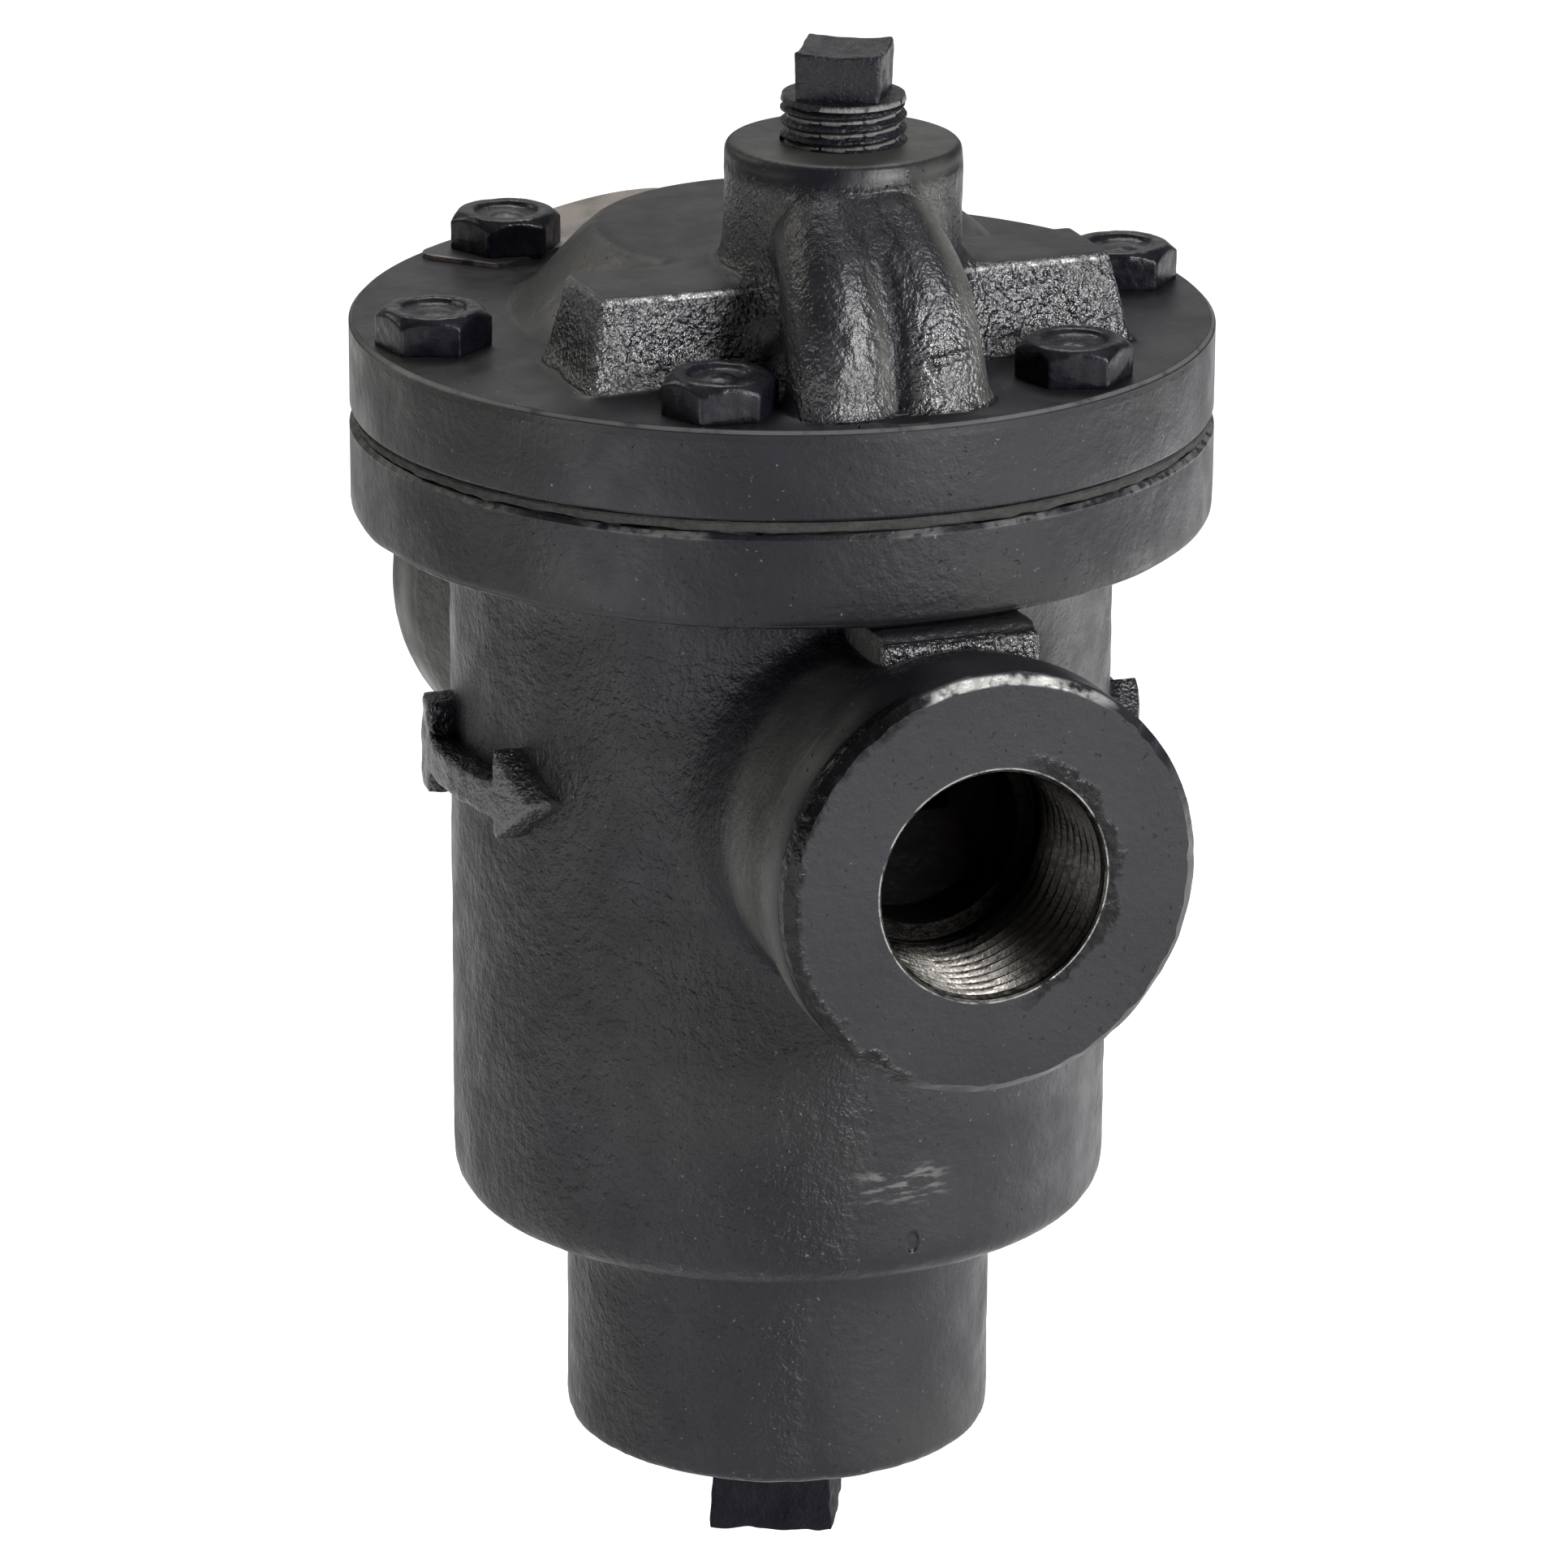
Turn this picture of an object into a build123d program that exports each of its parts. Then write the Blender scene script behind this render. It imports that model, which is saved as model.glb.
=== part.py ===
from build123d import *
import math
import os

# Inverted-bucket steam trap with an integral strainer, side inlet and side outlet in line.
# Millimetres, +Z up. The body's axis is the Z axis, the outlet faces -Y and the inlet +Y.
# Z is counted from the lowest point of the drain plug's square head.

# ---- driving dimensions: the two castings -------------------------------------------------
PLUG_DROP = 12.5            # drain plug's head below the strainer boss
BOSS_RADIUS = 24.0          # strainer boss under the body
BOSS_HEIGHT = 28.7
BARREL_RADIUS = 36.8        # body barrel
FLANGE_RADIUS = 47.6        # 3-3/4 inch flanges
BODY_FLANGE_THICK = 10.6
CAP_FLANGE_THICK = 10.0
GASKET_THICK = 1.4
BARREL_HEIGHT = 79.5        # from the barrel's lower corner to the body flange
PORT_HEIGHT = 84.2          # port centreline above the strainer boss's face
FACE_TO_FACE = 127.0
OUTLET_RIM_RADIUS = 23.3    # outlet barrel at its face
INLET_RIM_RADIUS = 25.2     # the inlet barrel has a heavier rim
PORT_NECK_RADIUS = 21.4     # port barrels where they leave the body
PORT_RIM_LENGTH = 7.0
BOLT_COUNT = 6
BOLT_CIRCLE_RADIUS = 40.3
DOME_HEIGHT = 10.2
DOME_BASE_RADIUS = 30.0
DOME_TOP_RADIUS = 21.0
NECK_HEIGHT = 23.8          # test boss's top above the cap flange
NECK_RADIUS = 12.8
NECK_Y = -18.2              # the valve seat and the test boss share this axis
WING_LENGTH = 63.0          # bar across the dome
WING_DEPTH = 16.0
WING_DRAFT = 13             # degrees
RIDGE_RADIUS = 21.5         # outside of the outlet elbow, in side view
RIDGE_Y = -24.0
RIDGE_LOBES = ((-4.7, -13), (-0.8, 10))  # sideways shift and turn in degrees of each lobe
LOBE_RADIUS = 5.8
WEB_HALF_WIDTH = 6.5
OUTLET_BORE = 3.9
OUTLET_BORE_RISE = 8.0      # cross bore above the cap flange
ARROW_PROUD = 3.3           # flow arrows on both sides of the barrel
ARROW_DROP = 2.0            # arrow's middle below the port centreline
LEDGE_SIDES = (-7.2, 10.4)  # block between the outlet and the flange
LEDGE_FRONT_Y = -50.0
REAR_BLOCK_HALF_WIDTH = 7.5
REAR_BLOCK_Y = 43.0
CORE_BORE_RADIUS = 10.5     # cored hole behind each port thread
OUTLET_CORE_Y = 38.0
INLET_CORE_Y = 28.0

# ---- threads, as plain cylinders ----------------------------------------------------------
PORT_BORE_RADIUS = 12.3     # 3/4 NPT
PORT_THREAD_LENGTH = 19.0
TEST_THREAD_RADIUS = 6.8    # 1/4 NPT
DRAIN_THREAD_RADIUS = 10.2  # 1/2 NPT
SCREW_RADIUS = 3.1          # 1/4-20
HOLE_GAP = 0.3              # screw holes that are not tapped
RUNNING_GAP = 0.05

# ---- screws, plugs and tag ----------------------------------------------------------------
HEX_FLATS = 11.1            # 7/16 inch
HEX_HEIGHT = 4.2
HEX_TURNS = (16, 4, 24, 9, 21, 12)
SCREW_LENGTH = 19.5
SQUARE_TEST = 9.2           # test plug's square head
SQUARE_TEST_HEIGHT = 5.4
SQUARE_TEST_TURN = -30
TEST_SHANK_RISE = 5.1       # test plug's shank above the boss
TEST_SHANK_DEPTH = 10.5     # and inside it
TEST_PITCH = 25.4 / 18
SQUARE_DRAIN = 13.7         # drain plug's square head
SQUARE_DRAIN_TURN = -26
DRAIN_SHANK = 15.0
PLATE_THICK = 0.5
PLATE_RADII = (34.4, 46.2)
PLATE_SCREW = 2             # the tag is held by the third screw

# ---- mechanism ----------------------------------------------------------------------------
CHAMBER_RADIUS = 31.5
DUCT_WALL_Y = 22.0          # flat wall between the bucket chamber and the inlet duct
DUCT_WALL_THICK = 2.5
BUCKET_Y = -2.0             # bucket and inlet tube axis
BUCKET_RADIUS = 22.0
BUCKET_WALL = 0.9
BUCKET_HEIGHT = 54.0
TUBE_RADIUS = 6.5
TUBE_WALL = 1.0
FULCRUM_Y = -27.0
FULCRUM_DROP = 4.4          # fulcrum below the cap's underside
LEVER_SWING = 14.0          # degrees from bucket down to valve on its seat
BALL_RADIUS = 3.2
ORIFICE_RADIUS = 1.6
SEAT_HEX_FLATS = 14.0
SEAT_RADIUS = 6.0
BRACKET_SCREW_X = 10.1
BRACKET_SCREW_RADIUS = 1.7
BRACKET_THICK = 1.4
PIN_RADIUS = 1.2
LEVER_HALF_WIDTH = 4.0
LEVER_THICK = 2.0
ARM_HALF_WIDTH = 2.2
CLIP_RIVET_X = 7.4
RIVET_RADIUS = 1.1
CLIP_THICK = 1.2

# ---- heights worked out from them ---------------------------------------------------------
BOSS_Z = PLUG_DROP
BARREL_Z = BOSS_Z + BOSS_HEIGHT
FLANGE_Z = BARREL_Z + BARREL_HEIGHT
BODY_TOP_Z = FLANGE_Z + BODY_FLANGE_THICK
CAP_Z = BODY_TOP_Z + GASKET_THICK
CAP_TOP_Z = CAP_Z + CAP_FLANGE_THICK
NECK_TOP_Z = CAP_TOP_Z + NECK_HEIGHT
PORT_Z = BOSS_Z + PORT_HEIGHT
PORT_FACE_Y = FACE_TO_FACE / 2
ARROW_Z = PORT_Z - ARROW_DROP
FULCRUM_Z = CAP_Z - FULCRUM_DROP
FLOOR_Z = BARREL_Z + 14.5   # floor of the bucket chamber
FLOOR_THICK = 3.0
STRAINER_TOP_Z = FLOOR_Z - FLOOR_THICK
STRAINER_LOW_Z = BOSS_Z + 17.0
STRAINER_RADIUS = 14.0
SCREEN_RADIUS = 8.6
SCREEN_WALL = 0.4
SEAT_FACE_Z = CAP_Z + 2.0
SEAT_HEX_TOP_Z = SEAT_FACE_Z + 4.0
SEAT_TOP_Z = SEAT_HEX_TOP_Z + 8.0
BALL_Z = SEAT_FACE_Z - math.sqrt(BALL_RADIUS**2 - ORIFICE_RADIUS**2)
LEVER_REACH = (BUCKET_Y - FULCRUM_Y) / math.cos(math.radians(LEVER_SWING))
HANGER_Z = FULCRUM_Z - LEVER_REACH * math.sin(math.radians(LEVER_SWING))
BUCKET_TOP_Z = HANGER_Z - 6.6
PASSAGE_HALF_WIDTH = 5.0
PASSAGE_NEAR_Y = -34.8
PASSAGE_FAR_Y = -43.0
OUTLET_BORE_Y = PASSAGE_NEAR_Y - 3.0
DRAIN_SHANK_TOP_Z = BOSS_Z + DRAIN_SHANK

LOW = (Align.CENTER, Align.CENTER, Align.MIN)


def post(radius, low, high, x=0.0, y=0.0):
    """Upright cylinder between two heights."""
    return Pos(x, y, low) * Cylinder(radius, high - low, align=LOW)


def rod_x(radius, half_length, y, z):
    """Cylinder along X, centred on x = 0."""
    return Pos(0, y, z) * Rot(0, 90, 0) * Cylinder(radius, 2 * half_length)


def rod_y(radius, y_from, y_to, z, end_radius=None):
    """Cylinder or cone along Y between two places, in either direction."""
    turn = -90 if y_to > y_from else 90
    length = abs(y_to - y_from)
    if end_radius is None:
        shape = Cylinder(radius, length, align=LOW)
    else:
        shape = Cone(radius, end_radius, length, align=LOW)
    return Pos(0, y_from, z) * Rot(turn, 0, 0) * shape


def block(x_low, x_high, y_low, y_high, z_low, z_high):
    """Box between two corners."""
    centre = Pos((x_low + x_high) / 2, (y_low + y_high) / 2, (z_low + z_high) / 2)
    return centre * Box(x_high - x_low, y_high - y_low, z_high - z_low)


def hexagon(across_flats, low, high, x=0.0, y=0.0, turn=0.0):
    """Upright hexagonal prism."""
    outline = RegularPolygon(across_flats / 2, 6, major_radius=False)
    return Pos(x, y, low) * Rot(0, 0, turn) * extrude(outline, high - low)


def bolt_places():
    """Centres of the cap screws, the first on +X."""
    for index in range(BOLT_COUNT):
        angle = math.radians(index * 360 / BOLT_COUNT)
        yield BOLT_CIRCLE_RADIUS * math.cos(angle), BOLT_CIRCLE_RADIUS * math.sin(angle)


def top_edges(shape):
    return shape.edges().group_by(Axis.Z)[-1]


def low_edges(shape):
    return shape.edges().group_by(Axis.Z)[0]


# ---- body casting -------------------------------------------------------------------------
def flow_arrow(side):
    """Raised arrow that wraps round one side of the barrel and points to the outlet."""
    outline = [
        (10.0, 5.3), (5.2, 5.3), (5.2, 1.4), (-12.0, 1.4), (-12.0, 5.4), (-18.4, 0.0),
        (-12.0, -5.4), (-12.0, -2.7), (5.2, -2.7), (5.2, -5.3), (10.0, -5.3),
    ]
    side_plane = Plane(origin=(0, 0, ARROW_Z), x_dir=(0, 1, 0), z_dir=(side, 0, 0))
    if side < 0:
        outline = [(y, -z) for y, z in outline]
    bar = extrude(side_plane * make_face(Polyline(*outline, close=True)), amount=BARREL_RADIUS + 8)
    rim = post(BARREL_RADIUS + ARROW_PROUD, ARROW_Z - 10, ARROW_Z + 10)
    core = post(BARREL_RADIUS - 1.0, ARROW_Z - 10, ARROW_Z + 10)
    return bar & (rim - core)


def port_barrel(side, rim_radius):
    """Rim, shoulder and neck of one port."""
    rim_end = side * (PORT_FACE_Y - PORT_RIM_LENGTH)
    rim = rod_y(rim_radius, side * PORT_FACE_Y, rim_end, PORT_Z)
    rim = chamfer(rim.edges().sort_by(Axis.Y)[-1 if side > 0 else 0], 0.9)
    shoulder_end = side * (PORT_FACE_Y - 2.4 * PORT_RIM_LENGTH)
    shoulder = rod_y(rim_radius, rim_end, shoulder_end, PORT_Z, PORT_NECK_RADIUS)
    return rim + shoulder + rod_y(PORT_NECK_RADIUS, shoulder_end, side * 20, PORT_Z)


def body_outside():
    barrel = post(BARREL_RADIUS, BARREL_Z, FLANGE_Z + 1)
    barrel = fillet(low_edges(barrel), 3.5)
    flange = post(FLANGE_RADIUS, FLANGE_Z, BODY_TOP_Z)
    flange = fillet(low_edges(flange), 1.4)
    flange = chamfer(top_edges(flange), 0.5)
    boss = fillet(low_edges(post(BOSS_RADIUS, BOSS_Z, BARREL_Z + 6)), 0.8)
    collar = fillet(low_edges(post(BOSS_RADIUS + 1.6, BARREL_Z - 1.6, BARREL_Z + 2)), 1.0)
    shape = barrel + flange + boss + collar
    shape += port_barrel(-1, OUTLET_RIM_RADIUS) + port_barrel(1, INLET_RIM_RADIUS)
    for side in (-1, 1):
        shape += flow_arrow(side)
    for front, top in ((LEDGE_FRONT_Y, FLANGE_Z - 0.3), (-FLANGE_RADIUS + 4, FLANGE_Z + 1)):
        shape += block(*LEDGE_SIDES, front, -30.0, PORT_Z + 8, top)
    shape += block(-REAR_BLOCK_HALF_WIDTH, REAR_BLOCK_HALF_WIDTH, 30.0, REAR_BLOCK_Y,
                   PORT_Z + 8, FLANGE_Z + 1)
    return shape


def body_hollows():
    """Chamber, inlet duct, strainer pocket, port bores and outlet passage."""
    chamber = post(CHAMBER_RADIUS, FLOOR_Z, BODY_TOP_Z)
    duct_block = block(-40, 40, DUCT_WALL_Y, 40, FLOOR_Z - 1, PORT_Z + 14)
    tube_boss = post(TUBE_RADIUS + 2.5, FLOOR_Z - 1, FLOOR_Z + 4, y=BUCKET_Y)
    chamber = chamber - duct_block - tube_boss
    duct_room = block(-40, 40, DUCT_WALL_Y + DUCT_WALL_THICK, 40, BARREL_Z + 4.5, PORT_Z + 11)
    duct = post(CHAMBER_RADIUS, BARREL_Z, BODY_TOP_Z) & duct_room
    under_floor = block(-9, 9, 5, 27, BARREL_Z + 4.5, STRAINER_TOP_Z)
    pocket = post(STRAINER_RADIUS, STRAINER_LOW_Z, STRAINER_TOP_Z)
    screen_recess = post(SCREEN_RADIUS + 0.3, STRAINER_TOP_Z - 1, STRAINER_TOP_Z + 1.3)
    tube_hole = post(TUBE_RADIUS, STRAINER_TOP_Z - 1, FLOOR_Z + 5, y=BUCKET_Y)
    drain_hole = post(DRAIN_THREAD_RADIUS + RUNNING_GAP, BOSS_Z - 1, STRAINER_LOW_Z + 1)
    hollows = [chamber, duct, under_floor, pocket, screen_recess, tube_hole, drain_hole]
    for side, depth in ((-1, OUTLET_CORE_Y), (1, INLET_CORE_Y)):
        thread_end = side * (PORT_FACE_Y - PORT_THREAD_LENGTH)
        hollows.append(rod_y(PORT_BORE_RADIUS, side * (PORT_FACE_Y + 1), thread_end, PORT_Z))
        hollows.append(rod_y(CORE_BORE_RADIUS, side * (PORT_FACE_Y + 1), side * depth, PORT_Z))
        mouth = rod_y(PORT_BORE_RADIUS + 0.8, side * PORT_FACE_Y, side * (PORT_FACE_Y - 0.8),
                      PORT_Z, PORT_BORE_RADIUS)
        hollows.append(mouth)
    hollows.append(block(-PASSAGE_HALF_WIDTH, PASSAGE_HALF_WIDTH, PASSAGE_FAR_Y, PASSAGE_NEAR_Y,
                         PORT_Z, BODY_TOP_Z + 1))
    for x, y in bolt_places():
        hollows.append(post(SCREW_RADIUS + RUNNING_GAP, FLANGE_Z - 1, BODY_TOP_Z + 1, x, y))
    return hollows


def make_body():
    shape = body_outside()
    for hollow in body_hollows():
        shape -= hollow
    return shape


# ---- cap casting --------------------------------------------------------------------------
def ridge_lobe(shift, turn):
    """One of the two rounded lobes of the outlet elbow, fanning out from the test boss."""
    ring = Torus(RIDGE_RADIUS - LOBE_RADIUS, LOBE_RADIUS)
    place = Pos(shift, RIDGE_Y, CAP_TOP_Z + 0.6)
    return place * Rot(0, 0, turn) * Rot(0, 90, 0) * ring


def outlet_ridge():
    web = rod_x(RIDGE_RADIUS - LOBE_RADIUS, WEB_HALF_WIDTH, RIDGE_Y, CAP_TOP_Z)
    for shift, turn in RIDGE_LOBES:
        web += ridge_lobe(shift, turn)
    return web & block(-20, 20, -46.4, RIDGE_Y + 4, CAP_TOP_Z - 2, CAP_TOP_Z + 25)


def cap_outside():
    flange = post(FLANGE_RADIUS, CAP_Z, CAP_TOP_Z)
    flange = chamfer(top_edges(flange), 0.6)
    flange = chamfer(low_edges(flange), 0.6)
    dome = Pos(0, 0, CAP_TOP_Z) * Cone(DOME_BASE_RADIUS, DOME_TOP_RADIUS, DOME_HEIGHT, align=LOW)
    dome = fillet(top_edges(dome), 4.0)
    wings = extrude(Rectangle(WING_LENGTH, WING_DEPTH), amount=DOME_HEIGHT + 0.5, taper=WING_DRAFT)
    wings = Pos(-0.5, -18.6, CAP_TOP_Z - 0.5) * wings
    neck = fillet(top_edges(post(NECK_RADIUS, CAP_TOP_Z, NECK_TOP_Z, y=NECK_Y)), 1.0)
    knob = Pos(-10.6, -26.0, CAP_TOP_Z + 3.2) * Sphere(3.4)
    return flange + dome + wings + neck + outlet_ridge() + knob


def cap_hollows():
    pocket = post(23.0, CAP_Z - 1, CAP_TOP_Z + 5) + post(9.2, CAP_Z - 1, CAP_TOP_Z, y=NECK_Y)
    pocket -= post(9.2, SEAT_HEX_TOP_Z, NECK_TOP_Z, y=NECK_Y)
    seat_hole = post(SEAT_RADIUS + RUNNING_GAP, CAP_Z, SEAT_TOP_Z + 0.5, y=NECK_Y)
    chamber = post(5.2, SEAT_TOP_Z, NECK_TOP_Z - 9, y=NECK_Y)
    plug_hole = post(TEST_THREAD_RADIUS + RUNNING_GAP, NECK_TOP_Z - 11, NECK_TOP_Z + 1, y=NECK_Y)
    bore_z = CAP_TOP_Z + OUTLET_BORE_RISE
    across = rod_y(OUTLET_BORE, NECK_Y, OUTLET_BORE_Y, bore_z)
    down = post(OUTLET_BORE, CAP_Z - 1, bore_z, y=OUTLET_BORE_Y)
    corner = Pos(0, OUTLET_BORE_Y, bore_z) * Sphere(OUTLET_BORE)
    hollows = [pocket, seat_hole, chamber, plug_hole, across, down, corner]
    for x, y in bolt_places():
        hollows.append(post(SCREW_RADIUS + HOLE_GAP, CAP_Z - 1, CAP_TOP_Z + 1, x, y))
    for x in (-BRACKET_SCREW_X, BRACKET_SCREW_X):
        hollows.append(post(BRACKET_SCREW_RADIUS, CAP_Z - 1, CAP_Z + 6, x, FULCRUM_Y + 0.5))
    return hollows


def make_cap():
    shape = cap_outside()
    for hollow in cap_hollows():
        shape -= hollow
    return shape


def make_gasket():
    ring = post(FLANGE_RADIUS - 0.5, BODY_TOP_Z, CAP_Z)
    ring -= post(CHAMBER_RADIUS + 0.5, BODY_TOP_Z - 1, CAP_Z + 1)
    for x, y in bolt_places():
        ring -= post(SCREW_RADIUS + HOLE_GAP, BODY_TOP_Z - 1, CAP_Z + 1, x, y)
    return ring - block(-PASSAGE_HALF_WIDTH, PASSAGE_HALF_WIDTH, PASSAGE_FAR_Y, PASSAGE_NEAR_Y,
                        BODY_TOP_Z - 1, CAP_Z + 1)


# ---- screws, plugs and plate --------------------------------------------------------------
def cap_screw(x, y, turn, seat_z):
    head = hexagon(HEX_FLATS, seat_z, seat_z + HEX_HEIGHT, x, y, turn)
    crown = Cone(HEX_FLATS / 2 + 4.4, HEX_FLATS / 2 - 0.2, HEX_HEIGHT, align=LOW)
    crown = Pos(x, y, seat_z) * crown
    shank = post(SCREW_RADIUS, CAP_TOP_Z - SCREW_LENGTH, seat_z + 1, x, y)
    return (head & crown) + chamfer(low_edges(shank), 0.6)


def make_cap_screws():
    screws = []
    for index, (x, y) in enumerate(bolt_places()):
        seat_z = CAP_TOP_Z + (PLATE_THICK if index == PLATE_SCREW else 0)
        screws.append(cap_screw(x, y, HEX_TURNS[index], seat_z))
    return Compound(children=screws)


def make_nameplate():
    """Blank tag, a sector of a ring, held under the head of the third cap screw."""
    inner, outer = PLATE_RADII
    ring = post(outer, CAP_TOP_Z, CAP_TOP_Z + PLATE_THICK) - post(inner, CAP_Z, CAP_TOP_Z + 1)
    wedge = Pos(0, 0, CAP_TOP_Z) * extrude(
        make_face(Polyline((0, 0), (-42, 42), (0, 60), (6, 60), close=True)), 2)
    plate = ring & wedge
    x, y = list(bolt_places())[PLATE_SCREW]
    return plate - post(SCREW_RADIUS + HOLE_GAP, CAP_Z, CAP_TOP_Z + 2, x, y)


def make_test_plug():
    """Square-headed plug; its three grooves stand for the thread that shows."""
    shank_top = NECK_TOP_Z + TEST_SHANK_RISE
    plug = post(TEST_THREAD_RADIUS, NECK_TOP_Z - TEST_SHANK_DEPTH, shank_top, y=NECK_Y)
    plug = chamfer(top_edges(plug), 0.5)
    for turn in range(3):
        z = NECK_TOP_Z + 0.55 + turn * TEST_PITCH
        groove = post(TEST_THREAD_RADIUS + 1, z, z + 0.5, y=NECK_Y)
        plug -= groove - post(TEST_THREAD_RADIUS - 0.7, z - 1, z + 1, y=NECK_Y)
    head = Rot(0, 0, SQUARE_TEST_TURN) * Box(SQUARE_TEST, SQUARE_TEST, SQUARE_TEST_HEIGHT, align=LOW)
    head = Pos(0, NECK_Y, shank_top - 0.3) * head
    head = fillet(head.edges().filter_by(Axis.Z), 0.8)
    return plug + head


def make_drain_plug():
    head = Rot(0, 0, SQUARE_DRAIN_TURN) * Box(SQUARE_DRAIN, SQUARE_DRAIN, PLUG_DROP + 1, align=LOW)
    head = fillet(head.edges().filter_by(Axis.Z), 0.9)
    thread = post(DRAIN_THREAD_RADIUS, BOSS_Z + 0.2, DRAIN_SHANK_TOP_Z)
    return head + chamfer(top_edges(thread), 0.8)


def make_screen():
    low = DRAIN_SHANK_TOP_Z + 1.0
    top = STRAINER_TOP_Z + 1.2
    return post(SCREEN_RADIUS, low, top) - post(SCREEN_RADIUS - SCREEN_WALL, low - 1, top + 1)


def make_screen_retainer():
    """Spun cup on the drain plug that centres the lower end of the screen."""
    low = DRAIN_SHANK_TOP_Z
    cup = post(SCREEN_RADIUS + 1.0, low, low + 4.0) - post(SCREEN_RADIUS, low + 1, low + 5)
    return cup - post(SCREEN_RADIUS - 2.4, low - 1, low + 2)


# ---- valve, lever and bucket --------------------------------------------------------------
def make_inlet_tube():
    low, top = STRAINER_TOP_Z + 1.5, BUCKET_TOP_Z - 12.0
    tube = post(TUBE_RADIUS, low, top, y=BUCKET_Y)
    tube = chamfer(top_edges(tube), 0.4)
    return tube - post(TUBE_RADIUS - TUBE_WALL, low - 1, top + 1, y=BUCKET_Y)


def make_valve_seat():
    seat = chamfer(low_edges(hexagon(SEAT_HEX_FLATS, SEAT_FACE_Z, SEAT_HEX_TOP_Z, y=NECK_Y)), 0.6)
    seat += post(SEAT_RADIUS, SEAT_HEX_TOP_Z - 1, SEAT_TOP_Z, y=NECK_Y)
    seat -= post(ORIFICE_RADIUS, SEAT_FACE_Z - 1, SEAT_TOP_Z + 1, y=NECK_Y)
    return seat - post(ORIFICE_RADIUS * 2, SEAT_FACE_Z + 3, SEAT_TOP_Z + 1, y=NECK_Y)


def open_pose(shape):
    """Turn a piece of the lever from its closed place to bucket-down."""
    return shape.rotate(Axis((0, FULCRUM_Y, FULCRUM_Z), (1, 0, 0)), -LEVER_SWING)


def make_valve_ball():
    return open_pose(Pos(0, NECK_Y, BALL_Z) * Sphere(BALL_RADIUS))


def make_valve_retainer():
    low = FULCRUM_Z + LEVER_THICK / 2
    cup = post(4.8, low, BALL_Z + 0.8, y=NECK_Y)
    cup -= Pos(0, NECK_Y, BALL_Z) * Sphere(BALL_RADIUS + 0.02)
    return open_pose(cup)


def make_lever():
    """Flat lever in its closed place, turned down to bucket-down at the end."""
    half = LEVER_THICK / 2
    hub = rod_x(2.7, LEVER_HALF_WIDTH, FULCRUM_Y, FULCRUM_Z)
    bar = block(-LEVER_HALF_WIDTH, LEVER_HALF_WIDTH, FULCRUM_Y, NECK_Y + 7,
                FULCRUM_Z - half, FULCRUM_Z + half)
    pin_y = FULCRUM_Y + LEVER_REACH
    arm = block(-ARM_HALF_WIDTH, ARM_HALF_WIDTH, NECK_Y + 5, pin_y, FULCRUM_Z - half, FULCRUM_Z + half)
    eye = rod_x(2.4, ARM_HALF_WIDTH, pin_y, FULCRUM_Z)
    lever = hub + bar + arm + eye
    lever -= rod_x(PIN_RADIUS + RUNNING_GAP, 10, FULCRUM_Y, FULCRUM_Z)
    lever -= rod_x(PIN_RADIUS + RUNNING_GAP, 10, pin_y, FULCRUM_Z)
    lever -= post(2.6, FULCRUM_Z - 5, FULCRUM_Z + 5, y=NECK_Y)
    return open_pose(lever)


def make_fulcrum_bracket():
    plate = block(-12.3, 12.3, FULCRUM_Y - 2, FULCRUM_Y + 3.4, CAP_Z - BRACKET_THICK, CAP_Z)
    for side in (-1, 1):
        ear = block(side * 5.5 - 0.8, side * 5.5 + 0.8, FULCRUM_Y - 2, FULCRUM_Y + 3,
                    FULCRUM_Z - 2.6, CAP_Z - 1)
        plate += ear
        plate -= post(BRACKET_SCREW_RADIUS, CAP_Z - 3, CAP_Z + 1,
                      side * BRACKET_SCREW_X, FULCRUM_Y + 0.5)
    return plate - rod_x(PIN_RADIUS, 10, FULCRUM_Y, FULCRUM_Z)


def make_fulcrum_pin():
    pin = rod_x(PIN_RADIUS, 7.0, FULCRUM_Y, FULCRUM_Z)
    return pin + Pos(-7.3, FULCRUM_Y, FULCRUM_Z) * Rot(0, 90, 0) * Cylinder(1.9, 1.0)


def make_bracket_screws():
    screws = []
    for side in (-1, 1):
        x, y = side * BRACKET_SCREW_X, FULCRUM_Y + 0.5
        head = fillet(low_edges(post(2.4, CAP_Z - 3.2, CAP_Z - BRACKET_THICK, x, y)), 0.8)
        slot = block(x - 3, x + 3, y - 0.35, y + 0.35, CAP_Z - 4, CAP_Z - 2.5)
        screws.append(head + post(BRACKET_SCREW_RADIUS, CAP_Z - 2, CAP_Z + 5.5, x, y) - slot)
    return Compound(children=screws)


def make_bucket():
    """Inverted bucket: open below, closed above, with a vent hole in its top."""
    low = BUCKET_TOP_Z - BUCKET_HEIGHT
    shell = fillet(top_edges(post(BUCKET_RADIUS, low, BUCKET_TOP_Z, y=BUCKET_Y)), 2.5)
    inside = post(BUCKET_RADIUS - BUCKET_WALL, low - 1, BUCKET_TOP_Z - BUCKET_WALL, y=BUCKET_Y)
    shell -= fillet(top_edges(inside), 1.6)
    shell -= post(1.0, BUCKET_TOP_Z - 5, BUCKET_TOP_Z + 1, 0, BUCKET_Y + 13)
    for x in (-CLIP_RIVET_X, CLIP_RIVET_X):
        shell -= post(RIVET_RADIUS, BUCKET_TOP_Z - 5, BUCKET_TOP_Z + 1, x, BUCKET_Y)
    return shell


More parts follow.
